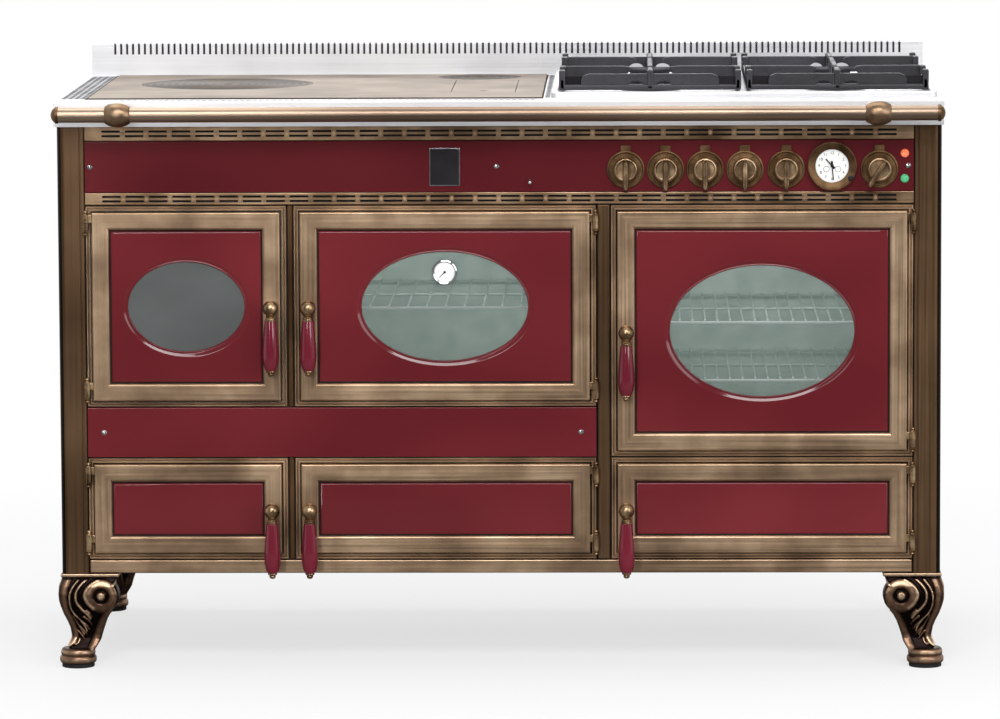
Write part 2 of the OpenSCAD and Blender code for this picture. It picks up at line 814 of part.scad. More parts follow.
// A knob: disc, grip bar and shaft, turned clockwise by an angle
module knob(x, turn)
    color(BRASS)
        translate([x, 0, control_z])
            rotate([0, turn, 0]) {
                rod_y(0, 0, knob_y - 12, knob_y, knob_r);
                rod_y(0, 0, knob_y - 1, skin_y + shaft_len, shaft_r);
                block([-knob_bar_w / 2, knob_bar_w / 2], [knob_y - 26, knob_y - 1],
                      [-knob_bar_down, knob_bar_up]);
            }

set_knob_angle = 32.7;
set_knob_x = clock_x + set_knob_reach * cos(set_knob_angle);
set_knob_z = clock_z - set_knob_reach * sin(set_knob_angle);
clock_lip = 11;
dial_y = skin_y - 2;
arbor_r = 1.5;
hub_r = 2.6;

// A dished ring round the dial, with the movement's case behind it
module clock_case()
    color(BRONZE)
        difference() {
            union() {
                turned_y(clock_x, skin_y, clock_z, [
                    [0, 0], [clock_r, 0], [clock_r, clock_lip - 3], [clock_r - 3, clock_lip],
                    [dial_r, 4], [dial_r, skin_y - dial_y], [0, skin_y - dial_y]
                ]);
                rod_y(clock_x, clock_z, skin_y - 1, skin_y + 40, dial_r);
            }
            rod_y(clock_x, clock_z, dial_y - 1, dial_y + 20, hub_r + fit_gap);
            rod_y(set_knob_x, set_knob_z, skin_y - clock_lip - 1, skin_y - seat_gap, 2 + fit_gap);
        }

module clock_set_knob()
    color(BLACK) {
        rod_y(set_knob_x, set_knob_z, skin_y - clock_lip - 6, skin_y - clock_lip - seat_gap, 4.5);
        rod_y(set_knob_x, set_knob_z, skin_y - clock_lip - 1, skin_y - 1, 2);
    }

// A hand along a clock direction, balanced by its round tail
module hand_blade(length, width, y, angle)
    translate([clock_x, 0, clock_z])
        rotate([0, angle, 0]) {
            block([-width / 2, width / 2], [y, y + 0.6], [0, length]);
            block([-width, width], [y, y + 0.6], [-length / 2.8, 0]);
        }

module hour_hand()
    color(BLACK)
        difference() {
            union() {
                hand_blade(15, 2, dial_y - 1.4, -42);
                rod_y(clock_x, clock_z, dial_y - 1.4, dial_y + 15, hub_r);
            }
            rod_y(clock_x, clock_z, dial_y - 3, dial_y + 16, arbor_r + fit_gap);
        }

module minute_hand()
    color(BLACK) {
        hand_blade(22, 1.6, dial_y - 2.6, 175);
        rod_y(clock_x, clock_z, dial_y - 2.6, dial_y + 14, arbor_r);
        rod_y(clock_x, clock_z, dial_y - 3.2, dial_y - 2.6, 2.4);
    }

toggle_y = skin_y + sheet_t + 4;
toggle_pin_r = 1.5;
toggle_rest = 20;

// A small lever on a cross pin behind the panel, hanging down at rest
module toggle_lever()
    color(CHROME)
        translate([toggle_x, toggle_y, toggle_z]) {
            rod_x(0, 0, -6.5, 6.5, toggle_pin_r);
            rotate([toggle_rest, 0, 0]) {
                rod_y(0, 0, -toggle_len, 0, 1.8);
                translate([0, -toggle_len, 0])
                    sphere(r = 3.2);
            }
        }

// ---- Worktop -------------------------------------------------------------

// Folded sheet with skirts, and openings for the hotplate and the hob
module worktop()
    color(STEEL)
        difference() {
            top_x = body_w / 2 + worktop_overhang;
            block([-top_x, top_x], [top_y, back_y], [top_z0, top_z]);
            block([-top_x + worktop_t, top_x - worktop_t],
                  [top_y + worktop_t, back_y - worktop_t], [top_z0 - 1, top_z - worktop_t]);
            block([hotplate_x0 - lid_gap, hotplate_x1 + lid_gap],
                  [hotplate_y0 - lid_gap, hotplate_y0 + hotplate_d + lid_gap], [top_z0, top_z + 1]);
            block([hob_x0 + 20, hob_x1 - 20], [hob_y0 + 20, hob_y0 + hob_d - 20], [top_z0, top_z + 1]);
        }

backguard_x = body_w / 2 + worktop_overhang - 3;

module backguard()
    color(STEEL)
        difference() {
            block([-backguard_x, backguard_x], [back_y - backguard_fold, back_y],
                  [top_z, top_z + backguard_h]);
            block([-backguard_x - 1, backguard_x + 1],
                  [back_y - backguard_fold + worktop_t, back_y + 1],
                  [top_z - 1, top_z + backguard_h - worktop_t]);
            count = floor((2 * backguard_x - 76) / slot_pitch);
            for (i = [0:count])
                translate([(i - count / 2) * slot_pitch, 0, 0])
                    block([-1.8, 1.8], [back_y - backguard_fold - 1, back_y - 3],
                          [top_z + backguard_h - slot_drop, top_z + backguard_h + 1]);
        }

// A round seat cut into the plate: the lid's well and the hole inside its ledge
module lid_well(x, y, r, z0) {
    translate([x, y, plate_z - hotplate_t / 2])
        cylinder(r = r + lid_gap, h = hotplate_t);
    translate([x, y, z0 - 1])
        cylinder(r = r - ledge_w, h = hotplate_t + 2);
}

module hotplate()
    color(IRON)
        difference() {
            block([hotplate_x0, hotplate_x1], [hotplate_y0, hotplate_y0 + hotplate_d], [seat_z, plate_z]);
            lid_well(lid_x, lid_y, lid_r, seat_z);
            lid_well(flue_lid_x, flue_lid_y, flue_lid_r, seat_z);
            block([soot_x - soot_w / 2 - lid_gap, soot_x + soot_w / 2 + lid_gap],
                  [soot_y - soot_d / 2 - lid_gap, soot_y + soot_d / 2 + lid_gap],
                  [plate_z - hotplate_t / 2, plate_z + 1]);
            block([soot_x - soot_w / 2 + ledge_w, soot_x + soot_w / 2 - ledge_w],
                  [soot_y - soot_d / 2 + ledge_w, soot_y + soot_d / 2 - ledge_w],
                  [seat_z - 1, plate_z]);
        }

// A round lid with the recess for its lifter
module round_lid(x, y, r)
    color(IRON)
        difference() {
            translate([x, y, plate_z - hotplate_t / 2])
                cylinder(r = r, h = hotplate_t / 2);
            translate([x, y, plate_z - 3])
                cylinder(r = 7, h = 4);
        }

module soot_hatch()
    color(IRON)
        difference() {
            block([soot_x - soot_w / 2, soot_x + soot_w / 2],
                  [soot_y - soot_d / 2, soot_y + soot_d / 2], [plate_z - hotplate_t / 2, plate_z]);
            translate([soot_x, soot_y - soot_d / 2 + 30, plate_z - 3])
                cylinder(r = 7, h = 4);
        }

// ---- Gas hob -------------------------------------------------------------

burner_x = [grid_x - grid_pitch / 2, grid_x + grid_pitch / 2];

module hob_tray()
    color(STEEL)
        difference() {
            block([hob_x0, hob_x1], [hob_y0, hob_y0 + hob_d], [top_z, hob_top]);
            block([hob_x0 + 14, hob_x1 - 14], [hob_y0 + 14, hob_y0 + hob_d - 14],
                  [top_z + 3, hob_top + 1]);
            for (x = burner_x)
                for (y = [front_burner_y, rear_burner_y])
                    translate([x, y, top_z - 1])
                        cylinder(r = throat_r + 1, h = 10);
        }

throat_r = 19;

// A burner: throat, crown and cap
module burner(x, y, r)
    translate([x, y, top_z + 3])
        rotate_extrude()
            polygon([
                [0, -18], [throat_r, -18], [throat_r, 0], [r, 0], [r, 5], [r - 3, 14], [r - 1, 14],
                [r - 1, 17], [r - 4, 19], [0, 19]
            ]);

module burners()
    color(BLACK)
        for (x = burner_x) {
            burner(x, front_burner_y, front_burner_r);
            burner(x, rear_burner_y, rear_burner_r);
        }

grid_foot = 16;
grid_top = hob_top + grid_h;

// A pan support: ground frame, posts, cross bars and the fingers over both burners
module pan_support(x)
    color(BLACK) {
        left = x - grid_w / 2;
        right = x + grid_w / 2;
        back = grid_y0 + grid_d;
        low = [hob_top, hob_top + 9];
        for (edge = [left, right - grid_bar_w])
            block([edge, edge + grid_bar_w], [grid_y0, back], low);
        for (edge = [grid_y0, back - grid_bar_w])
            block([left, right], [edge, edge + grid_bar_w], low);
        for (edge = [left, x - grid_bar_w / 2, right - grid_bar_w])
            for (end = [grid_y0, back - grid_foot])
                block([edge, edge + grid_bar_w], [end, end + grid_foot], [hob_top, grid_top]);
        block([left, right], [(grid_y0 + back) / 2 - 5, (grid_y0 + back) / 2 + 5], low);
        for (y = [front_burner_y, rear_burner_y])
            grid_fingers(x, y, left, right);
    }

// Four fingers that point at a burner and carry the pan
module grid_fingers(x, y, left, right) {
    open_r = 26;
    finger_z = [grid_top - 9, grid_top];
    for (reach = [[left, x - open_r], [x + open_r, right]])
        block(reach, [y - grid_bar_w / 2, y + grid_bar_w / 2], finger_z);
    for (edge = [left, right - grid_bar_w])
        block([edge, edge + grid_bar_w], [y - 12, y + 12], [hob_top, grid_top]);
    front = y == front_burner_y;
    mid_y = (grid_y0 + grid_y0 + grid_d) / 2;
    reach_front = front ? [grid_y0, y - open_r] : [mid_y, y - open_r];
    reach_back = front ? [y + open_r, mid_y] : [y + open_r, grid_y0 + grid_d];
    block([x - grid_bar_w / 2, x + grid_bar_w / 2], reach_front, finger_z);
    block([x - grid_bar_w / 2, x + grid_bar_w / 2], reach_back, finger_z);
    block([x - grid_bar_w / 2, x + grid_bar_w / 2], [mid_y - 5, mid_y + 5], [hob_top, grid_top]);
}

// ---- Firebox and ovens ---------------------------------------------------

fire_x = [left_x0 + open_inset, left_x1 - open_inset];
fire_y = [behind_y, behind_y + firebox_d];
fire_top = seat_z - top_bar - 2;
grate_z = upper_z0 + grate_h;

// Firebrick lining round the fire, open at the front, the top and the ash chute
module firebox()
    color(IRON) {
        outer_x = [fire_x[0] - lining_t + 10, fire_x[1] + lining_t - 22];
        inner_x = [outer_x[0] + lining_t, outer_x[1] - lining_t];
        block([outer_x[0], inner_x[0]], fire_y, [upper_z0, fire_top]);
        block([inner_x[1], outer_x[1]], fire_y, [upper_z0, fire_top]);
        block([inner_x[0] + seat_gap, inner_x[1] - seat_gap], [fire_y[1] - lining_t, fire_y[1]],
              [upper_z0, fire_top]);
        block([inner_x[0] + seat_gap, inner_x[1] - seat_gap], [fire_y[0], fire_y[0] + lining_t],
              [upper_z1 - open_inset, fire_top]);
        difference() {
            block([inner_x[0] + seat_gap, inner_x[1] - seat_gap],
                  [fire_y[0], fire_y[1] - lining_t - seat_gap], [upper_z0, grate_z]);
            for (i = [-4:4])
                block([(inner_x[0] + inner_x[1]) / 2 + i * 18 - 5, (inner_x[0] + inner_x[1]) / 2 + i * 18 + 5],
                      [chute_y[0] + 15, chute_y[1] - 15], [upper_z0 - 1, grate_z + 1]);
        }
    }

// A shallow pan with a pull, under the ash chute
module ash_pan()
    color(SHEET) {
        pan_middle = (left_x0 + left_x1) / 2 + 5;
        pan_x = [pan_middle - ash_pan_w / 2, pan_middle + ash_pan_w / 2];
        pan_y = [behind_y + 20, behind_y + 20 + ash_pan_d];
        pan_wall = 2;
        floor_z = base_z + base_t + seat_gap;
        difference() {
            block(pan_x, pan_y, [floor_z, floor_z + ash_pan_h]);
            block([pan_x[0] + pan_wall, pan_x[1] - pan_wall], [pan_y[0] + pan_wall, pan_y[1] - pan_wall],
                  [floor_z + pan_wall, floor_z + ash_pan_h + 1]);
        }
        block([pan_middle - 30, pan_middle + 30], [pan_y[0] - 12, pan_y[0]],
              [floor_z + ash_pan_h - 30, floor_z + ash_pan_h - 26]);
    }

// An oven box, open at the front, with runners on both sides
module oven_box(door, y1, runners) {
    inside_x = [door[0][0] + open_inset, door[0][1] - open_inset];
    inside_z = [door[1][0] + open_inset, door[1][1] - open_inset];
    difference() {
        block([inside_x[0] - oven_wall, inside_x[1] + oven_wall], [behind_y, y1],
              [inside_z[0] - oven_wall, inside_z[1] + oven_wall]);
        block(inside_x, [behind_y - 1, y1 - oven_wall], inside_z);
    }
    for (z = runners)
        for (edge = [inside_x[0], inside_x[1] - runner_w])
            block([edge, edge + runner_w], [behind_y + 12, y1 - oven_wall], [z - 4, z]);
    for (edge = [inside_x[0], inside_x[1] - 12])
        block([edge, edge + 12], [behind_y + 30, y1 - 30],
              [foot_of_oven(door), inside_z[0] - oven_wall]);
}

function foot_of_oven(door) = door[1][0] == upper_z0 ? upper_z0 : lower_z1 + shelf_t;

runner_w = 10;
oven_back = behind_y + oven_d;
wood_rack_z = upper_z0 + 0.47 * upper_row_h;
electric_racks_z = [lower_z1 + 0.285 * (upper_z1 - lower_z1), lower_z1 + 0.515 * (upper_z1 - lower_z1)];

module wood_oven()
    color(SHEET)
        oven_box(WOOD, oven_back, [wood_rack_z]);

module electric_oven()
    color(SHEET)
        oven_box(ELECTRIC, oven_back, electric_racks_z);

// A wire rack: three cross bars that lie on the runners, with the long wires welded on top
module rack(door, z, pitch) {
    bar_r = 2.5;
    wire_r = 1.5;
    x0 = door[0][0] + open_inset + 2;
    x1 = door[0][1] - open_inset - 2;
    y0 = behind_y + 24;
    y1 = oven_back - oven_wall - 14;
    level = z + bar_r + seat_gap / 2;
    for (y = [y0, (y0 + y1) / 2, y1])
        rod_x(y, level, x0, x1, bar_r);
    count = floor((x1 - x0 - 8) / pitch);
    for (i = [0:count])
        rod_y((x0 + x1) / 2 + (i - count / 2) * pitch, level + bar_r + wire_r - 0.4,
              y0 - 6, y1 + 6, wire_r);
}

module oven_racks()
    color(CHROME) {
        rack(WOOD, wood_rack_z, wood_wire_pitch);
        for (z = electric_racks_z)
            rack(ELECTRIC, z, electric_wire_pitch);
    }

element_r = 3.5;
element_inner = 90;
element_outer = 150;
element_middle = (element_inner + element_outer) / 2;
element_half = (element_outer - element_inner) / 2 + element_r;
element_front_y = behind_y + 60;

// Sheathed elements under the electric oven's roof and over its floor
module heating_elements()
    color(BLACK) {
        middle = (right_x0 + right_x1) / 2;
        inside_z = [lower_z1 + open_inset, upper_z1 - open_inset];
        for (z = [inside_z[0] + 12, inside_z[1] - 14])
            for (x = [-element_outer, -element_inner, element_inner, element_outer])
                rod_y(middle + x, z, element_front_y, oven_back - oven_wall, element_r);
        for (z = [inside_z[0] + 12, inside_z[1] - 14])
            for (side = [-1, 1])
                rod_x(element_front_y, z, middle + side * element_middle - element_half,
                      middle + side * element_middle + element_half, element_r);
    }

// ---- Services ------------------------------------------------------------

flue_z = top_z0 - flue_r - 20;
gas_stub = 12;
gas_x = right_x1 - 16;
gas_z = control_z;

// Spigot for the stove pipe, with its flange on the back panel
module flue_collar()
    color(IRON)
        difference() {
            union() {
                rod_y(flue_lid_x, flue_z, casing_back_y + sheet_t, casing_back_y + sheet_t + 5, flue_r + 14);
                rod_y(flue_lid_x, flue_z, casing_back_y + sheet_t, back_y + flue_len, flue_r);
            }
            rod_y(flue_lid_x, flue_z, casing_back_y, back_y + flue_len + 1, flue_r - flue_wall);
        }

rail_z = top_z0 + worktop_h - 18;
rail_y = top_y - rail_reach;
tube_end = body_w / 2 + rail_past - cap_len;
bracket_flat = 17;
bracket_arm_r = 8;

// Towel rail with domed ends, on two ball brackets
module handrail()
    color(BRASS) {
        rod_x(rail_y, rail_z, -tube_end, tube_end, rail_r);
        for (side = [-1, 1]) {
            translate([side * tube_end, rail_y, rail_z])
                rotate([0, side * 90, 0])
                    rotate_extrude()
                        polygon([
                            [0, -3], [rail_r + 1.5, -3], [rail_r + 1.5, 2], [rail_r - 1, cap_len - 4],
                            [rail_r - 6, cap_len - 1], [0, cap_len]
                        ]);
            bracket_x = side * (body_w / 2 - bracket_inset);
            intersection() {
                translate([bracket_x, rail_y, rail_z])
                    sphere(r = bracket_r);
                block([bracket_x - bracket_flat, bracket_x + bracket_flat],
                      [rail_y - bracket_r - 1, rail_y + bracket_r + 1],
                      [rail_z - bracket_r - 1, rail_z + bracket_r + 1]);
            }
            rod_y(bracket_x, rail_z, rail_y, top_y, bracket_arm_r);
        }
    }

pipe_r = 8;
pipe_behind = 50;
pipe_past = 20;

// Gas manifold with four taps, the two switches and the supply pipe
module gas_manifold()
    color(BRASS) {
        tap_y = skin_y + bearing_len + seat_gap;
        pipe_y = tap_y + pipe_behind;
        rod_x(pipe_y, control_z, tap_x[0] - pipe_past, gas_x + gas_r, pipe_r);
        for (x = tap_x)
            tap_body(x, tap_y, pipe_y - pipe_r - seat_gap);
        for (x = [selector_x, thermostat_x])
            switch_body(x, tap_y);
        rod_y(gas_x, gas_z, pipe_y + pipe_r + seat_gap, casing_back_y + sheet_t, pipe_r);
        rod_y(gas_x, gas_z, casing_back_y + sheet_t, back_y + gas_stub, gas_r);
    }

module tap_body(x, y0, y1)
    difference() {
        rod_y(x, control_z, y0, y1, 11);
        rod_y(x, control_z, y0 - 1, skin_y + shaft_len + 1, shaft_r + fit_gap);
    }

module switch_body(x, y0)
    difference() {
        block([x - 18, x + 18], [y0, y0 + 34], [control_z - 18, control_z + 18]);
        rod_y(x, control_z, y0 - 1, skin_y + shaft_len + 1, shaft_r + fit_gap);
    }

// ---- Doors ---------------------------------------------------------------

// The moving knuckle of one hinge, with its arm to the door's edge
module door_hinge(door, z) {
    x = hinge_x(door);
    edge = door[2] ? [x, x + hinge_offset + 1] : [x - hinge_offset - 1, x];
    z0 = z + knuckle_h + seat_gap;
    difference() {
        union() {
            translate([x, hinge_y, z0])
                cylinder(r = barrel_r, h = knuckle_h);
            block(edge, [max(door_y, hinge_y - 3), max(door_y, hinge_y - 3) + 6], [z0, z0 + knuckle_h]);
        }
        translate([x, hinge_y, z0 - 1])
            cylinder(r = pin_r + fit_gap, h = knuckle_h + 2);
    }
}

// A door frame with its rear flange, hinge knuckles and the bearing of the handle
module door_frame(door) {
    w = door_frame_w;
    x = [door_x0(door), door_x1(door)];
    z = [door_z0(door), door_z1(door)];
    flange_y = door_y + panel_recess + panel_t;
    difference() {
        block(x, [door_y, door_back_y], z);
        block([x[0] + w, x[1] - w], [door_y - 1, flange_y], [z[0] + w, z[1] - w]);
        block([x[0] + w + flange_lap, x[1] - w - flange_lap], [door_y, door_back_y + 1],
              [z[0] + w + flange_lap, z[1] - w - flange_lap]);
        rod_y(handle_x(door), handle_z(door), door_y - 1, door_back_y + 1, spindle_r + fit_gap);
    }
    for (hz = hinge_z(door))
        door_hinge(door, hz);
}

// An enamel panel, its edge free of the frame by the seat gap
module door_plate(door) {
    inset = door_frame_w + seat_gap;
    block([door_x0(door) + inset, door_x1(door) - inset],
          [door_y + panel_recess, door_y + panel_recess + panel_t],
          [door_z0(door) + inset, door_z1(door) - inset]);
}

dish_lip = 1;

// The dish round an oval window, cut in a face at y
module oval_dish(x, z, y, w, h)
    hull() {
        oval_y(x, z, y - 1, y, w + 2 * dish_w, h + 2 * dish_w);
        oval_y(x, z, y, y + dish_h, w + 2 * dish_lip, h + 2 * dish_lip);
    }

// A panel with a dished oval window
module window_panel(door, w, h)
    color(ENAMEL) {
        x = (door_x0(door) + door_x1(door)) / 2;
        z = handle_z(door);
        face = door_y + panel_recess;
        difference() {
            door_plate(door);
            oval_dish(x, z, face, w, h);
            oval_y(x, z, face - 1, face + panel_t + 1, w, h);
        }
    }

// A glass behind the panel, inside the frame's rear flange
module door_glass(door)
    color("lightcyan", 0.5) {
        inset = door_frame_w + flange_lap + seat_gap;
        y0 = door_y + panel_recess + panel_t;
        block([door_x0(door) + inset, door_x1(door) - inset], [y0, y0 + glass_t],
              [door_z0(door) + inset, door_z1(door) - inset]);
    }

// A lower door: the frame with its plain enamel panel
module lower_door(door)
    color(BRONZE) {
        door_frame(door);
        door_plate(door);
    }

tongue_t = bar_t - 0.7;

// A drop handle on its spindle, with the latch tongue behind the door
module door_handle(door)
    color(CRIMSON) {
        x = handle_x(door);
        z = handle_z(door);
        grip_y = door_y - handle_reach;
        rod_y(x, z, grip_y, door_back_y + tongue_t, spindle_r);
        rod_y(x, z, door_y - 5, door_y - seat_gap, 8);
        translate([x, grip_y, z])
            sphere(r = ball_r);
        translate([x, grip_y, z])
            mirror([0, 0, 1])
                rotate_extrude()
                    polygon([
                        [0, 0], [4, 0], [5, 12], [8, 14], [8, 19], [6, 21], [8.7, 24],
                        [9.5, 24 + grip_len * 0.15], [grip_r, 24 + grip_len * 0.6],
                        [grip_r - 1.5, 24 + grip_len * 0.85], [7.5, 24 + grip_len],
                        [5, 24 + grip_len], [6, 28 + grip_len], [3, 32 + grip_len], [0, 34 + grip_len]
                    ]);
        side = door[2] ? 1 : -1;
        tongue = side > 0 ? [x - 4, x + tongue_len] : [x - tongue_len, x + 4];
        block(tongue, [door_back_y + seat_gap, door_back_y + tongue_t], [z - 4, z + 4]);
    }

// A dial thermometer on the wood oven's glass
module oven_thermometer()
    color(CHROME) {
        x = (door_x0(WOOD) + door_x1(WOOD)) / 2;
        z = handle_z(WOOD) + wood_window_h / 2 - 32;
        y1 = door_y + panel_recess + panel_t;
        turned_y(x, y1, z, [[0, 0], [18, 0], [20, 2], [20, 5], [18, 6.5], [16.5, 5], [0, 5]]);
    }

// ---- Assembly ------------------------------------------------------------

cast_feet();
chassis();
casing_panels();
corner_posts();
door_surrounds();
vent_trims();
control_panel();
middle_panel();
panel_screws();
indicator_lamps();
knob_bezels();
clock_case();
worktop();
backguard();
hotplate();
hob_tray();
burners();
firebox();
ash_pan();
wood_oven();
electric_oven();
oven_racks();
heating_elements();
flue_collar();
handrail();
gas_manifold();
color(BRONZE) door_frame(FIREBOX);  // firebox_door
color(BRONZE) door_frame(WOOD);  // wood_oven_door
color(BRONZE) door_frame(ELECTRIC);  // electric_oven_door
lower_door(ASH);  // ash_door
lower_door(DRAWER);  // drawer_door
lower_door(WARMING);  // warming_door
window_panel(FIREBOX, fire_window_w, fire_window_h);  // firebox_door_panel
window_panel(WOOD, wood_window_w, wood_window_h);  // wood_oven_door_panel
window_panel(ELECTRIC, electric_window_w, electric_window_h);  // electric_oven_door_panel
door_glass(FIREBOX);  // firebox_door_glass
door_glass(WOOD);  // wood_oven_door_glass
door_glass(ELECTRIC);  // electric_oven_door_glass
oven_thermometer();
door_handle(FIREBOX);  // firebox_handle
door_handle(WOOD);  // wood_oven_handle
door_handle(ELECTRIC);  // electric_oven_handle
door_handle(ASH);  // ash_handle
door_handle(DRAWER);  // drawer_handle
door_handle(WARMING);  // warming_handle
knob(tap_x[0], 0);  // gas_knob_1
knob(tap_x[1], 0);  // gas_knob_2
knob(tap_x[2], 0);  // gas_knob_3
knob(tap_x[3], 0);  // gas_knob_4
knob(selector_x, 0);  // selector_knob
knob(thermostat_x, thermostat_turn);  // thermostat_knob
clock_set_knob();
hour_hand();
minute_hand();
toggle_lever();
pan_support(burner_x[0]);  // pan_support_left
pan_support(burner_x[1]);  // pan_support_right
round_lid(lid_x, lid_y, lid_r);  // hotplate_lid
round_lid(flue_lid_x, flue_lid_y, flue_lid_r);  // flue_lid
soot_hatch();
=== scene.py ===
"""Looks of the range cooker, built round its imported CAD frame.

The camera and the stage come first. Then each sub-assembly is a class that builds its pieces in the
part's own frame, in millimetres, and gives each piece its finish, its body and its place.
"""

import logging
import math
from dataclasses import dataclass
from enum import Enum
from typing import Callable, Dict, List, Optional, Sequence, Tuple

import bmesh
import bpy
from mathutils import Matrix, Vector


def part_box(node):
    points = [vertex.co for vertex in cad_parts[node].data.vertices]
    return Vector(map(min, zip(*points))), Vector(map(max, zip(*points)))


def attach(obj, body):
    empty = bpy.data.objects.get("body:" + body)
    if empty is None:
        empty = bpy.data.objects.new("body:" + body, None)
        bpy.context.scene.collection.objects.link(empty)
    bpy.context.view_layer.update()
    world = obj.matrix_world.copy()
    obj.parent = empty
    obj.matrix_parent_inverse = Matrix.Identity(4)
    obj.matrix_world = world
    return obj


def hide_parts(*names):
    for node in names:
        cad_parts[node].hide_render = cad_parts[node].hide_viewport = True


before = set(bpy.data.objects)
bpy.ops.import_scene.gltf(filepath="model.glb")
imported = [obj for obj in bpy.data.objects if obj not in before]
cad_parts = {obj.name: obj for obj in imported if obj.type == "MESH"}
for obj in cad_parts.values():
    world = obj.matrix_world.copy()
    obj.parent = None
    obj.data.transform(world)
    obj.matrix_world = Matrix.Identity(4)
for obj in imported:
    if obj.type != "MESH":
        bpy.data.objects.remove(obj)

LOG = logging.getLogger("range_cooker")
Point = Tuple[float, float, float]
Flat = Tuple[float, float]
Span = Tuple[float, float]
Colour = Tuple[float, float, float]
MM = 0.001


# ---- Sizes ----------------------------------------------------------------------------------------


@dataclass(frozen=True)
class Layout:
    """The places that the whole front shares, in millimetres.

    X runs to the right, Y to the back and Z up from the floor.
    """

    left: Span = (-656.5, -336.5)
    middle: Span = (-326.5, 154.5)
    right: Span = (176.5, 656.5)
    body_half: float = 700.0
    post_depth: float = 42.0
    foot_top: float = 153.0
    lower: Span = (175.5, 339.5)
    upper: Span = (420.0, 742.0)
    panel: Span = (762.0, 844.5)
    worktop: Span = (868.5, 908.5)
    plate: float = 910.5
    hob_top: float = 917.5
    grid_top: float = 949.5
    worktop_front: float = -312.75
    skin: float = -292.75
    bars: float = -282.75
    door_front: float = -300.55
    door_back: float = -283.05
    casing_back: float = 335.25
    back: float = 337.25

    @property
    def tall(self) -> Span:
        """Height range of the electric oven's door row."""
        return (self.lower[1], self.upper[1])


PLAN = Layout()


# ---- Finishes -------------------------------------------------------------------------------------


class Grain(Enum):
    """Direction of the brush lines on a metal."""

    ALONG_X = (3.0, 260.0, 260.0)
    ALONG_Z = (260.0, 260.0, 3.0)
    NONE = (60.0, 60.0, 60.0)


def linear(colour: Colour) -> Colour:
    """A colour as it reads on screen, given in linear light.

    Args:
        colour: Red, green and blue from 0 to 255.

    Returns:
        The three linear values.
    """
    shares = [value / 255.0 for value in colour]
    return tuple(s / 12.92 if s <= 0.04045 else ((s + 0.055) / 1.055) ** 2.4 for s in shares)


def around(count: int) -> List[float]:
    """Angles of equal steps round a full turn."""
    return [2 * math.pi * k / count for k in range(count)]


def placed(name: str, data: bpy.types.ID) -> bpy.types.Object:
    """Makes an object and links it to the scene.

    Args:
        name: Its name.
        data: Its mesh, curve, lamp or camera.

    Returns:
        The object.
    """
    obj = bpy.data.objects.new(name, data)
    bpy.context.scene.collection.objects.link(obj)
    return obj


def final_mesh(obj: bpy.types.Object) -> bpy.types.Mesh:
    """The shape of an object after its modifiers, as a plain mesh."""
    bpy.context.view_layer.update()
    graph = bpy.context.evaluated_depsgraph_get()
    return bpy.data.meshes.new_from_object(obj.evaluated_get(graph), depsgraph=graph)


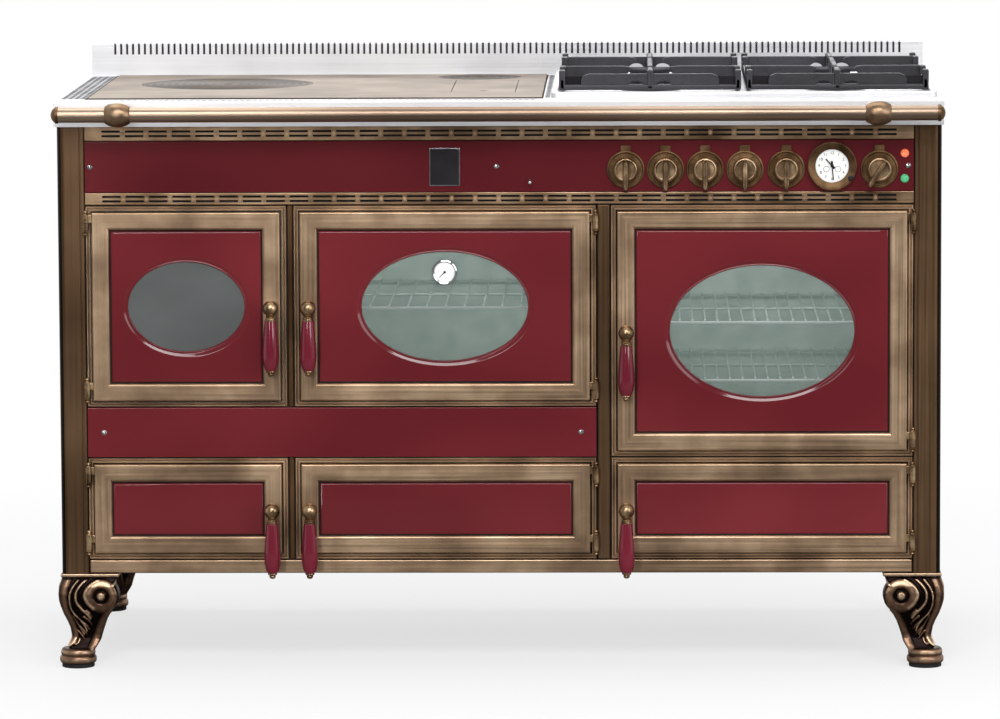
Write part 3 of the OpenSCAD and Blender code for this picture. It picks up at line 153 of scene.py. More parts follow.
class Nodes:
    """A short way to lay out the nodes of a material or of the world."""

    def __init__(self, owner: bpy.types.ID, output: str = "ShaderNodeOutputMaterial") -> None:
        """Empties the owner's tree and adds its output.

        Args:
            owner: The material or world to fill.
            output: Type name of the output node.
        """
        owner.use_nodes = True
        self.tree = owner.node_tree
        self.tree.nodes.clear()
        self.output = self.tree.nodes.new(output)

    def add(self, kind: str, **inputs: object) -> bpy.types.Node:
        """Adds a node and fills its inputs.

        Args:
            kind: The node's type name.
            **inputs: A value or an output socket for each input, with spaces written as underscores.

        Returns:
            The new node.
        """
        node = self.tree.nodes.new(kind)
        for name, value in inputs.items():
            self.feed(node.inputs[name.replace("_", " ")], value)
        return node

    def feed(self, socket: bpy.types.NodeSocket, value: object) -> None:
        """Links an output to a socket, or sets the socket's own value.

        Args:
            socket: The input to fill.
            value: An output socket, a number or a colour.
        """
        if isinstance(value, bpy.types.NodeSocket):
            self.tree.links.new(value, socket)
        elif isinstance(value, tuple) and len(value) == 3 and len(socket.default_value) == 4:
            socket.default_value = (*value, 1.0)
        else:
            socket.default_value = value

    def place(self, scale: Point, offset: Point = (0.0, 0.0, 0.0)) -> bpy.types.NodeSocket:
        """Object coordinates, stretched and moved.

        Args:
            scale: Scale along each axis, per metre.
            offset: Shift in metres, before the scale.

        Returns:
            The vector output.
        """
        where = self.add("ShaderNodeTexCoord")
        mapping = self.add("ShaderNodeMapping", Vector=where.outputs["Object"])
        mapping.vector_type = "POINT"
        mapping.inputs["Scale"].default_value = scale
        mapping.inputs["Location"].default_value = tuple(-o * s for o, s in zip(offset, scale))
        return mapping.outputs["Vector"]

    def noise(self, vector: bpy.types.NodeSocket, scale: float,
              detail: float = 3.0) -> bpy.types.NodeSocket:
        """A noise pattern.

        Args:
            vector: Where the pattern is read.
            scale: Scale of the noise.
            detail: Octaves of detail.

        Returns:
            The factor output.
        """
        node = self.add("ShaderNodeTexNoise", Vector=vector, Scale=scale, Detail=detail)
        return node.outputs["Fac"]

    def ramp(self, factor: bpy.types.NodeSocket,
             stops: Sequence[Tuple[float, Colour]]) -> bpy.types.NodeSocket:
        """A colour ramp.

        Args:
            factor: The value that drives the ramp.
            stops: Position and colour of each stop.

        Returns:
            The colour output.
        """
        node = self.add("ShaderNodeValToRGB", Fac=factor)
        elements = node.color_ramp.elements
        while len(elements) < len(stops):
            elements.new(0.5)
        for element, (position, colour) in zip(elements, stops):
            element.position = position
            element.color = (*colour, 1.0)
        return node.outputs["Color"]

    def span(self, factor: bpy.types.NodeSocket, low: float, high: float,
             start: float = 0.3, end: float = 0.7) -> bpy.types.NodeSocket:
        """Maps a pattern to a range of numbers.

        Args:
            factor: The pattern.
            low: Result at the start.
            high: Result at the end.
            start: Pattern value that gives low.
            end: Pattern value that gives high.

        Returns:
            The mapped output.
        """
        node = self.add("ShaderNodeMapRange", Value=factor, From_Min=start, From_Max=end, To_Min=low,
                        To_Max=high)
        return node.outputs["Result"]

    def mix(self, factor: object, first: object, second: object,
            blend: str = "MIX") -> bpy.types.NodeSocket:
        """Mixes two colours.

        Args:
            factor: Share of the second colour.
            first: First colour or output.
            second: Second colour or output.
            blend: Blend mode.

        Returns:
            The colour output.
        """
        node = self.tree.nodes.new("ShaderNodeMix")
        node.data_type = "RGBA"
        node.blend_type = blend
        self.feed(node.inputs[0], factor)
        self.feed(node.inputs[6], first)
        self.feed(node.inputs[7], second)
        return node.outputs[2]

    def maths(self, operation: str, first: bpy.types.NodeSocket,
              second: bpy.types.NodeSocket) -> bpy.types.NodeSocket:
        """Combines two numbers.

        Args:
            operation: Name of the operation.
            first: First number.
            second: Second number.

        Returns:
            The result.
        """
        node = self.tree.nodes.new("ShaderNodeMath")
        node.operation = operation
        self.feed(node.inputs[0], first)
        self.feed(node.inputs[1], second)
        return node.outputs["Value"]

    def either(self, share: bpy.types.NodeSocket, first: bpy.types.NodeSocket,
               second: bpy.types.NodeSocket) -> bpy.types.NodeSocket:
        """Mixes two shaders.

        Args:
            share: Share of the second shader.
            first: First shader.
            second: Second shader.

        Returns:
            The mixed shader.
        """
        node = self.add("ShaderNodeMixShader", Fac=share)
        self.feed(node.inputs[1], first)
        self.feed(node.inputs[2], second)
        return node.outputs["Shader"]

    def bump(self, height: bpy.types.NodeSocket, strength: float, distance: float) -> bpy.types.NodeSocket:
        """A bump from a height pattern.

        Args:
            height: The height pattern.
            strength: Strength from 0 to 1.
            distance: Depth of the bump in metres.

        Returns:
            The normal output.
        """
        node = self.add("ShaderNodeBump", Height=height, Strength=strength, Distance=distance)
        return node.outputs["Normal"]

    def surface(self, **inputs: object) -> bpy.types.Node:
        """Adds the main shader and joins it to the output.

        Args:
            **inputs: A value or an output socket for each input.

        Returns:
            The shader node.
        """
        shader = self.add("ShaderNodeBsdfPrincipled", **inputs)
        self.feed(self.output.inputs["Surface"], shader.outputs["BSDF"])
        return shader


@dataclass(frozen=True)
class Finish:
    """A finish that can be made into a material once and shared by pieces."""

    name: str

    def material(self) -> bpy.types.Material:
        """The finish's material, made on first use."""
        title = "look_" + self.name
        found = bpy.data.materials.get(title)
        if found is None:
            found = bpy.data.materials.new(title)
            self.lay_out(Nodes(found))
        return found

    def lay_out(self, nodes: Nodes) -> None:
        """Fills the material's nodes.

        Args:
            nodes: The empty node layout.
        """
        raise NotImplementedError


@dataclass(frozen=True)
class BrushedMetal(Finish):
    """Metal with fine brush lines and a patina in soft clouds."""

    dark: Colour
    middle: Colour
    light: Colour
    grain: Grain
    roughness: float = 0.36
    patina: float = 5.0
    groove: float = 0.0
    metallic: float = 1.0
    contrast: float = 0.45

    def lay_out(self, nodes: Nodes) -> None:
        """Fills the material's nodes.

        Args:
            nodes: The empty node layout.
        """
        clouds = nodes.noise(nodes.place((self.patina, self.patina, self.patina)), 1.0, 4.0)
        lines = nodes.noise(nodes.place(self.grain.value), 1.0, 3.0)
        stops = [(0.32, linear(self.dark)), (0.5, linear(self.middle)), (0.66, linear(self.light))]
        tone = nodes.ramp(clouds, stops)
        fine = nodes.ramp(lines, [(0.3, (0.55, 0.55, 0.55)), (0.7, (1.15, 1.15, 1.15))])
        colour = nodes.mix(self.contrast, tone, fine, "MULTIPLY")
        # Painted shade: the colour darkens where ambient occlusion finds a hollow or corner, standing for
        # the shade there as well as for patina.
        if self.groove > 0:
            cavity = nodes.add("ShaderNodeAmbientOcclusion", Distance=self.groove)
            cavity.samples = 6
            shade = nodes.ramp(cavity.outputs["AO"], [(0.3, (0.22, 0.19, 0.17)), (0.8, (1.0, 1.0, 1.0))])
            colour = nodes.mix(1.0, colour, shade, "MULTIPLY")
        nodes.surface(
            Base_Color=colour,
            Metallic=self.metallic,
            Roughness=nodes.span(lines, self.roughness - 0.07, self.roughness + 0.1),
            Normal=nodes.bump(lines, 0.12, 0.0004),
        )


@dataclass(frozen=True)
class Enamel(Finish):
    """Glossy vitreous enamel, with slow changes of depth and a faint orange peel."""

    deep: Colour
    bright: Colour
    roughness: float = 0.12
    gloss: float = 0.3
    coat: float = 0.15

    def lay_out(self, nodes: Nodes) -> None:
        """Fills the material's nodes.

        Args:
            nodes: The empty node layout.
        """
        slow = nodes.noise(nodes.place((2.2, 2.2, 3.0)), 1.0, 2.0)
        peel = nodes.noise(nodes.place((1.0, 1.0, 1.0)), 240.0, 2.0)
        nodes.surface(
            Base_Color=nodes.ramp(slow, [(0.34, linear(self.deep)), (0.66, linear(self.bright))]),
            Roughness=nodes.span(slow, self.roughness - 0.03, self.roughness + 0.05),
            Specular_IOR_Level=self.gloss,
            Coat_Weight=self.coat,
            Coat_Roughness=0.04,
            Normal=nodes.bump(peel, 0.03, 0.0004),
        )


@dataclass(frozen=True)
class CastIron(Finish):
    """Cast or ground iron, sanded or grainy."""

    dark: Colour
    light: Colour
    metallic: float = 0.6
    roughness: float = 0.45
    grain: Grain = Grain.NONE
    depth: float = 0.0004
    gloss: float = 0.5

    def lay_out(self, nodes: Nodes) -> None:
        """Fills the material's nodes.

        Args:
            nodes: The empty node layout.
        """
        sand = nodes.noise(nodes.place(self.grain.value), 3.0 if self.grain is Grain.NONE else 1.0, 4.0)
        stain = nodes.noise(nodes.place((7.0, 7.0, 7.0)), 1.0, 4.0)
        tone = nodes.ramp(stain, [(0.35, linear(self.dark)), (0.65, linear(self.light))])
        fine = nodes.ramp(sand, [(0.3, (0.72, 0.72, 0.72)), (0.7, (1.08, 1.08, 1.08))])
        nodes.surface(
            Base_Color=nodes.mix(0.6, tone, fine, "MULTIPLY"),
            Metallic=self.metallic,
            Specular_IOR_Level=self.gloss,
            Roughness=nodes.span(sand, self.roughness - 0.06, self.roughness + 0.12),
            Normal=nodes.bump(sand, 0.25, self.depth),
        )


@dataclass(frozen=True)
class TurnedIron(Finish):
    """Iron turned on a lathe: concentric rings round a centre."""

    centre: Point
    dark: Colour
    light: Colour
    pitch: float = 9.0

    def lay_out(self, nodes: Nodes) -> None:
        """Fills the material's nodes.

        Args:
            nodes: The empty node layout.
        """
        where = nodes.place((1.0, 1.0, 0.0), tuple(c * MM for c in self.centre))
        rings = nodes.add("ShaderNodeTexWave", Vector=where, Scale=1000.0 / self.pitch / 3.2)
        rings.wave_type = "RINGS"
        rings.rings_direction = "SPHERICAL"
        fine = nodes.add("ShaderNodeTexWave", Vector=where, Scale=1000.0 / self.pitch * 1.9)
        fine.wave_type = "RINGS"
        fine.rings_direction = "SPHERICAL"
        stain = nodes.noise(nodes.place((9.0, 9.0, 9.0)), 1.0, 4.0)
        tone = nodes.ramp(rings.outputs["Fac"], [(0.1, linear(self.dark)), (0.9, linear(self.light))])
        worn = nodes.ramp(stain, [(0.3, (0.75, 0.73, 0.7)), (0.7, (1.1, 1.1, 1.1))])
        nodes.surface(
            Base_Color=nodes.mix(1.0, tone, worn, "MULTIPLY"),
            Metallic=0.35,
            Specular_IOR_Level=0.1,
            Roughness=nodes.span(fine.outputs["Fac"], 0.42, 0.56, 0.0, 1.0),
            Normal=nodes.bump(fine.outputs["Fac"], 0.35, 0.0003),
        )


@dataclass(frozen=True)
class Plain(Finish):
    """Moulded plastic, paint, stone or polished metal with a light mottle."""

    dark: Colour
    light: Colour
    metallic: float = 0.0
    roughness: float = 0.4
    scale: float = 40.0
    depth: float = 0.0002
    gloss: float = 0.5

    def lay_out(self, nodes: Nodes) -> None:
        """Fills the material's nodes.

        Args:
            nodes: The empty node layout.
        """
        mottle = nodes.noise(nodes.place((1.0, 1.0, 1.0)), self.scale, 4.0)
        nodes.surface(
            Base_Color=nodes.ramp(mottle, [(0.3, linear(self.dark)), (0.7, linear(self.light))]),
            Metallic=self.metallic,
            Specular_IOR_Level=self.gloss,
            Roughness=nodes.span(mottle, self.roughness - 0.04, self.roughness + 0.06),
            Normal=nodes.bump(mottle, 0.15, self.depth),
        )


@dataclass(frozen=True)
class RackSteel(Finish):
    """Rack wire with painted light: a painted highlight on the front bar, and painted shade behind it."""

    front: float
    bright: Colour
    dull: Colour

    def lay_out(self, nodes: Nodes) -> None:
        """Fills the material's nodes.

        Args:
            nodes: The empty node layout.
        """
        where = nodes.place((1.0, 1.0, 1.0), (0.0, self.front * MM, 0.0))
        depth = nodes.add("ShaderNodeSeparateXYZ", Vector=where)
        mottle = nodes.noise(where, 90.0, 3.0)
        # Painted shade: the wire darkens over 12 mm behind the front bar.
        behind = nodes.span(depth.outputs["Y"], 0.0, 1.0, 0.0, 0.012)
        tone = nodes.ramp(behind, [(0.3, linear(self.bright)), (0.8, linear(self.dull))])
        nodes.surface(
            Base_Color=tone,
            Metallic=0.1,
            Roughness=nodes.span(mottle, 0.3, 0.45),
            Specular_IOR_Level=0.2,
        )


@dataclass(frozen=True)
class OvenGlass(Finish):
    """Heat-resistant glass with a thin haze, through which the oven shows."""

    haze: Colour
    clear: float = 0.55

    def lay_out(self, nodes: Nodes) -> None:
        """Fills the material's nodes.

        Args:
            nodes: The empty node layout.
        """
        film = nodes.noise(nodes.place((5.0, 5.0, 9.0)), 1.0, 3.0)
        haze = linear(self.haze)
        soft = tuple(c * 0.72 for c in haze)
        shader = nodes.surface(
            Base_Color=nodes.ramp(film, [(0.3, soft), (0.7, haze)]),
            Roughness=nodes.span(film, 0.04, 0.12),
            Specular_IOR_Level=0.5,
        )
        shader.inputs["Alpha"].default_value = 1.0 - self.clear


@dataclass(frozen=True)
class Lens(Finish):
    """A signal lamp's coloured lens."""

    colour: Colour

    def lay_out(self, nodes: Nodes) -> None:
        """Fills the material's nodes.

        Args:
            nodes: The empty node layout.
        """
        facets = nodes.noise(nodes.place((1.0, 1.0, 1.0)), 300.0, 1.0)
        colour = linear(self.colour)
        bright = tuple(min(1.0, c * 1.3 + 0.12) for c in colour)
        nodes.surface(
            Base_Color=nodes.ramp(facets, [(0.4, colour), (0.65, bright)]),
            Roughness=nodes.span(facets, 0.08, 0.16),
            Emission_Color=colour,
            Emission_Strength=0.25,
            Coat_Weight=1.0,
        )


@dataclass(frozen=True)
class AgedBronze(Finish):
    """Cast bronze coloured from the piece's own relief attribute: dark in the hollows, which is patina and
    painted shade, and pale on the crests, which is painted highlight.
    """

    def lay_out(self, nodes: Nodes) -> None:
        """Fills the material's nodes.

        Args:
            nodes: The empty node layout.
        """
        relief = nodes.add("ShaderNodeAttribute")
        relief.attribute_name = "relief"
        # The dark stops paint shade into the hollows over the patina; the pale stops paint highlights on
        # the crests.
        tone = nodes.ramp(relief.outputs["Fac"], [
            (0.12, linear((30, 23, 22))), (0.45, linear((96, 72, 60))), (0.72, linear((158, 126, 102))),
            (0.95, linear((236, 208, 176))),
        ])
        sand = nodes.noise(nodes.place((1.0, 1.0, 1.0)), 160.0, 4.0)
        speck = nodes.ramp(sand, [(0.3, (0.7, 0.68, 0.66)), (0.7, (1.1, 1.1, 1.1))])
        nodes.surface(
            Base_Color=nodes.mix(0.8, tone, speck, "MULTIPLY"),
            Metallic=1.0,
            Roughness=nodes.span(sand, 0.3, 0.48),
            Normal=nodes.bump(sand, 0.2, 0.0004),
        )


BRONZE = ((148, 122, 98), (182, 153, 124), (214, 184, 152))


class Look:
    """Every finish of the cooker, named once."""

    RAIL_X = BrushedMetal("bronze_across", *BRONZE, Grain.ALONG_X, 0.4, 11.0, 0.0015)
    RAIL_Z = BrushedMetal("bronze_upright", *BRONZE, Grain.ALONG_Z, 0.4, 11.0, 0.0015)
    POST = BrushedMetal("bronze_post", (80, 60, 43), (106, 82, 60), (132, 104, 80), Grain.ALONG_Z, 0.46,
                        3.0)
    # Painted shade: a near-black copy of the post bronze, for the posts' rounded outer corners.
    EDGE = BrushedMetal("bronze_edge_painted_shade", (22, 16, 12), (34, 25, 18), (48, 36, 26), Grain.ALONG_Z, 0.5, 3.0)
    STILE = BrushedMetal("bronze_stile", (58, 40, 28), (86, 62, 42), (120, 90, 62), Grain.ALONG_Z, 0.42)
    TRIM = BrushedMetal("bronze_trim", (110, 86, 64), (152, 124, 96), (192, 162, 130), Grain.ALONG_X, 0.38,
                        12.0, 0.002)
    TURNED = BrushedMetal("bronze_turned", (116, 92, 68), (162, 134, 102), (206, 178, 142), Grain.NONE, 0.3,
                          30.0, 0.002)
    KNOB = BrushedMetal("bronze_knob", (124, 100, 74), (162, 134, 104), (204, 176, 142), Grain.NONE, 0.34,
                        40.0, 0.0015)
    BALL = BrushedMetal("bronze_ball", (96, 75, 56), (130, 105, 82), (166, 140, 114), Grain.NONE, 0.36,
                        24.0, 0.0)
    BEZEL = BrushedMetal("bronze_bezel", (86, 64, 44), (112, 86, 60), (136, 108, 80), Grain.NONE, 0.5, 30.0,
                         0.001)
    TUBE = BrushedMetal("bronze_tube", (132, 112, 96), (170, 148, 128), (200, 180, 160), Grain.ALONG_X,
                        0.36, 1.5)
    FOOT = AgedBronze("bronze_cast_patina_and_painted_light")
    ENAMEL = Enamel("wine_enamel", (88, 24, 30), (108, 35, 40), 0.12, 0.26, 0.15)
    # Painted shade: a darker copy of the wine enamel, for the control panel.
    FASCIA = Enamel("wine_enamel_painted_shade", (72, 17, 23), (90, 26, 31), 0.12, 0.26, 0.15)
    CASING = Enamel("casing_enamel", (80, 17, 25), (98, 23, 31), 0.2)
    GRIP = Enamel("crimson_grip", (88, 12, 30), (108, 20, 40), 0.1, 0.5, 0.5)
    STEEL = BrushedMetal("stainless_across", (206, 206, 208), (222, 222, 224), (238, 238, 240),
                         Grain.ALONG_X, 0.4, 3.0, 0.0, 0.5, 0.15)
    PUNCHED = BrushedMetal("stainless_punched", (112, 112, 116), (134, 134, 138), (152, 152, 156),
                           Grain.NONE, 0.4, 6.0, 0.0, 0.3)
    CHROME = Plain("chrome", (186, 188, 192), (226, 228, 232), 1.0, 0.12, 60.0)
    PLATE = CastIron("ground_iron", (116, 102, 88), (150, 134, 117), 0.2, 0.5, Grain.ALONG_X, 0.0002, 0.2)
    GRID = CastIron("grid_enamel", (26, 25, 30), (46, 44, 52), 0.0, 0.42)
    CAP = CastIron("burner_cap", (34, 33, 38), (52, 50, 55), 0.0, 0.7, Grain.NONE, 0.0004, 0.15)
    CROWN = Plain("burner_crown", (58, 56, 58), (86, 84, 86), 0.0, 0.6, 80.0, 0.0002, 0.2)
    BRICK = Plain("firebrick", (128, 112, 92), (176, 158, 134), 0.0, 0.85, 60.0, 0.0012)
    OVEN = Plain("oven_enamel", (150, 160, 156), (178, 188, 184), 0.0, 0.4, 30.0)
    WIRE = RackSteel("rack_wire", -250.0, (240, 240, 240), (128, 138, 134))
    FRAME = Plain("frame_steel", (36, 34, 34), (50, 48, 47), 0.3, 0.6, 25.0, 0.0002, 0.2)
    ASH = Plain("ash_steel", (84, 82, 80), (112, 110, 106), 0.7, 0.5, 25.0)
    ELEMENT = Plain("element_steel", (62, 56, 54), (96, 88, 84), 0.8, 0.45, 50.0)
    FLUE = CastIron("flue_iron", (60, 58, 58), (92, 88, 86), 0.4, 0.55)
    BRASS = Plain("machined_brass", (170, 130, 74), (206, 168, 104), 1.0, 0.3, 60.0)
    BLACK = Plain("black_plastic", (14, 13, 14), (26, 25, 26), 0.0, 0.4, 80.0, 0.0002, 0.3)
    # Near-black: the badge's own black, and painted shade behind the door gaps, vent slots, perforations
    # and pan-support webs.
    DARK = Plain("black_and_painted_shade", (24, 22, 24), (38, 36, 38), 0.0, 0.8, 20.0, 0.0002, 0.1)
    SHADE = Plain("channel_shade", (78, 76, 84), (96, 94, 102), 0.0, 0.7, 20.0, 0.0002, 0.1)
    # Painted shade: a dark brown strip for the gap round the hotplate.
    CORD = Plain("hotplate_gap_painted_shade", (44, 33, 27), (66, 51, 42), 0.0, 0.7, 300.0, 0.0004, 0.1)
    RUBBER = Plain("black_rubber", (16, 16, 16), (30, 29, 29), 0.0, 0.75, 90.0)
    DIAL = Plain("dial_white", (226, 226, 222), (240, 240, 238), 0.0, 0.35, 30.0)
    ROPE = Plain("seal_rope", (38, 33, 30), (150, 134, 116), 0.0, 0.7, 420.0, 0.0006)
    GLASS = OvenGlass("oven_glass", (122, 138, 130), 0.62)
    FIRE_GLASS = OvenGlass("fire_glass", (96, 99, 98), 0.1)
    ORANGE = Lens("lens_orange", (226, 96, 48))
    GREEN = Lens("lens_green", (40, 150, 92))


# ---- Building meshes ------------------------------------------------------------------------------


class Axis(Enum):
    """The axis that a profile turns about or an outline is pushed along."""

    X = 0
    Y = 1
    Z = 2


def turned(point: Flat, along: float, axis: Axis) -> Point:
    """Puts a flat point and a distance along an axis into space.

    Args:
        point: The point across the axis.
        along: Distance along the axis.
        axis: The axis.

    Returns:
        The point in space. Across X that is (Y, Z), across Y (X, Z) and across Z (X, Y).
    """
    if axis is Axis.X:
        return (along, point[0], point[1])
    if axis is Axis.Y:
        return (point[0], along, point[1])
    return (point[0], point[1], along)


def circle(centre: Point, radius: float, axis: Axis, count: int) -> List[Point]:
    """Points of a circle about an axis.

    Args:
        centre: Its middle.
        radius: Its radius.
        axis: The axis that it goes round.
        count: Number of points.

    Returns:
        The points.
    """
    u, v = (value for place, value in enumerate(centre) if place != axis.value)
    flat = [(u + radius * math.cos(a), v + radius * math.sin(a)) for a in around(count)]
    return [turned(point, centre[axis.value], axis) for point in flat]


def oblong(across: Span, up: Span, along: float, axis: Axis, step: float = 0.0) -> List[Point]:
    """The four corners of a rectangle across an axis.

    Args:
        across: Range along the first direction across the axis.
        up: Range along the second.
        along: Its place along the axis.
        axis: The axis.
        step: Distance that each corner stands inside the ranges.

    Returns:
        The corners in turn.
    """
    u0, u1, v0, v1 = across[0] + step, across[1] - step, up[0] + step, up[1] - step
    return [turned(point, along, axis) for point in ((u0, v0), (u1, v0), (u1, v1), (u0, v1))]


class Shape:
    """One piece under construction, in millimetres in the part's frame."""

    def __init__(self, name: str) -> None:
        """Starts an empty piece.

        Args:
            name: The piece's name.
        """
        self.name = name
        self.bm = bmesh.new()
        self.finishes: List[Finish] = []

    def _slot(self, finish: Finish) -> int:
        """Index of a finish among the piece's material slots."""
        if finish not in self.finishes:
            self.finishes.append(finish)
        return self.finishes.index(finish)

    def _join(self, part: bmesh.types.BMesh, finish: Finish) -> None:
        """Adds a closed part with its finish to the piece."""
        bmesh.ops.recalc_face_normals(part, faces=part.faces)
        index = self._slot(finish)
        for face in part.faces:
            face.material_index = index
        mesh = bpy.data.meshes.new("part")
        part.to_mesh(mesh)
        part.free()
        self.bm.from_mesh(mesh)
        bpy.data.meshes.remove(mesh)

    def box(self, x: Span, y: Span, z: Span, finish: Finish, bevel: float = 0.0, segments: int = 2) -> None:
        """Adds a box with rounded edges.

        Args:
            x: Range along X.
            y: Range along Y.
            z: Range along Z.
            finish: Its finish.
            bevel: Width of the rounded edges.
            segments: Steps of the rounding.
        """
        outline = [(x[0], z[0]), (x[1], z[0]), (x[1], z[1]), (x[0], z[1])]
        self.prism(outline, Axis.Y, y, finish, bevel, segments)

    def prism(self, outline: Sequence[Flat], axis: Axis, span: Span, finish: Finish,
              bevel: float = 0.0, segments: int = 2) -> None:
        """Adds an outline pushed along an axis.

        Args:
            outline: Corners across the axis.
            axis: The axis.
            span: Range along the axis.
            finish: Its finish.
            bevel: Width of the rounded edges.
            segments: Steps of the rounding.
        """
        part = bmesh.new()
        near = [part.verts.new(turned(p, span[0], axis)) for p in outline]
        far = [part.verts.new(turned(p, span[1], axis)) for p in outline]
        count = len(outline)
        part.faces.new(near)
        part.faces.new(far)
        for i in range(count):
            j = (i + 1) % count
            part.faces.new([near[i], near[j], far[j], far[i]])
        bmesh.ops.recalc_face_normals(part, faces=part.faces)
        if bevel > 0:
            sharp = [e for e in part.edges if e.calc_face_angle(0.0) > 0.5]
            bmesh.ops.bevel(part, geom=sharp, offset=bevel, segments=segments, profile=0.5,
                            affect="EDGES", clamp_overlap=True)
        self._join(part, finish)

    def lathe(self, profile: Sequence[Flat], centre: Point, axis: Axis, finish: Finish,
              sides: int = 40, forward: int = 1) -> None:
        """Adds a profile turned about an axis.

        Args:
            profile: Radius and distance along the axis for each ring.
            centre: Where the distances start.
            axis: The axis.
            finish: Its finish.
            sides: Steps round the axis.
            forward: 1 or -1, the way that distances run along the axis.
        """
        rings = []
        for radius, along in profile:
            middle = list(centre)
            middle[axis.value] += along * forward
            rings.append(circle(middle, radius, axis, sides))
        self.loft(rings, finish)

    def boss(self, profile: Sequence[Flat], centre: Point, finish: Finish, sides: int) -> None:
        """Adds a profile turned about an axis that runs to the front, as lathe does."""
        self.lathe(profile, centre, Axis.Y, finish, sides, forward=-1)

    def rod(self, radius: float, span: Span, centre: Point, axis: Axis, finish: Finish,
            sides: int, forward: int = 1) -> None:
        """Adds a plain round rod or disc.

        Args:
            radius: Its radius.
            span: Its range along the axis, from the centre.
            centre: Where the range starts.
            axis: The axis.
            finish: Its finish.
            sides: Steps round the axis.
            forward: 1 or -1, the way that the range runs along the axis.
        """
        profile = [(0.0, span[0]), (radius, span[0]), (radius, span[1]), (0.0, span[1])]
        self.lathe(profile, centre, axis, finish, sides, forward)

    def loft(self, rings: Sequence[Sequence[Point]], finish: Finish, capped: bool = True) -> None:
        """Adds a skin over closed rings of points.

        Args:
            rings: Rings with the same number of points.
            finish: Its finish.
            capped: Whether the first and last ring are closed.
        """
        part = bmesh.new()
        made = [[part.verts.new(p) for p in ring] for ring in rings]
        for first, second in zip(made, made[1:]):
            count = len(first)
            for i in range(count):
                j = (i + 1) % count
                part.faces.new([first[i], first[j], second[j], second[i]])
        if capped:
            part.faces.new(made[0])
            part.faces.new(made[-1])
        else:
            for i in range(len(made[0])):
                j = (i + 1) % len(made[0])
                part.faces.new([made[-1][i], made[-1][j], made[0][j], made[0][i]])
        bmesh.ops.remove_doubles(part, verts=part.verts, dist=0.001)
        self._join(part, finish)

    def oval_ring(self, centre: Point, size: Flat, profile: Sequence[Flat], finish: Finish,
                  sides: int = 96) -> None:
        """Adds a closed profile swept round an upright ellipse.

        Args:
            centre: Middle of the ellipse; distances run from its Y to the front.
            size: Width and height of the ellipse.
            profile: Closed profile of distance outside the ellipse and distance to the front.
            finish: Its finish.
            sides: Steps round the ellipse.
        """
        rings = []
        for angle in around(sides):
            ring = []
            for out, ahead in profile:
                across = (size[0] / 2 + out) * math.cos(angle)
                up = (size[1] / 2 + out) * math.sin(angle)
                ring.append((centre[0] + across, centre[1] - ahead, centre[2] + up))
            rings.append(ring)
        self.loft(rings, finish, capped=False)

    def sheet(self, xs: Sequence[float], ys: Sequence[float], z: Span,
              solid: Callable[[float, float], bool],
              finish: Finish, axis: Axis = Axis.Z) -> None:
        """Adds a plate on a grid of lines, with some of the grid's fields left open.

        Args:
            xs: Lines across the first direction.
            ys: Lines across the second direction.
            z: Range along the axis.
            solid: Tells whether the field round a point is solid.
            finish: Its finish.
            axis: The axis that the plate is flat to.
        """
        xs, ys = sorted(set(xs)), sorted(set(ys))
        part = bmesh.new()
        verts: Dict[Tuple[int, int, int], bmesh.types.BMVert] = {}

        def corner(i: int, j: int, k: int) -> bmesh.types.BMVert:
            """The shared vertex at a grid corner."""
            key = (i, j, k)
            if key not in verts:
                verts[key] = part.verts.new(turned((xs[i], ys[j]), z[k], axis))
            return verts[key]

        def full(i: int, j: int) -> bool:
            """Whether a field of the grid is solid."""
            if not (0 <= i < len(xs) - 1 and 0 <= j < len(ys) - 1):
                return False
            return solid((xs[i] + xs[i + 1]) / 2, (ys[j] + ys[j + 1]) / 2)

        for i in range(len(xs) - 1):
            for j in range(len(ys) - 1):
                if not full(i, j):
                    continue
                for k in (0, 1):
                    field = ((i, j), (i + 1, j), (i + 1, j + 1), (i, j + 1))
                    part.faces.new([corner(a, b, k) for a, b in field])
                for di, dj, a, b in ((-1, 0, (0, 0), (0, 1)), (1, 0, (1, 0), (1, 1)),
                                     (0, -1, (0, 0), (1, 0)), (0, 1, (0, 1), (1, 1))):
                    if not full(i + di, j + dj):
                        part.faces.new([corner(i + a[0], j + a[1], 0), corner(i + b[0], j + b[1], 0),
                                        corner(i + b[0], j + b[1], 1), corner(i + a[0], j + a[1], 1)])
        self._join(part, finish)

    def add(self, obj: bpy.types.Object, finish: Finish) -> None:
        """Adds the mesh of an object that is given in metres, and removes that object.

        Args:
            obj: The object.
            finish: Its finish.
        """
        part = bmesh.new()
        part.from_mesh(obj.data)
        bmesh.ops.scale(part, vec=(1 / MM, 1 / MM, 1 / MM), verts=part.verts)
        bpy.data.objects.remove(obj)
        self._join(part, finish)

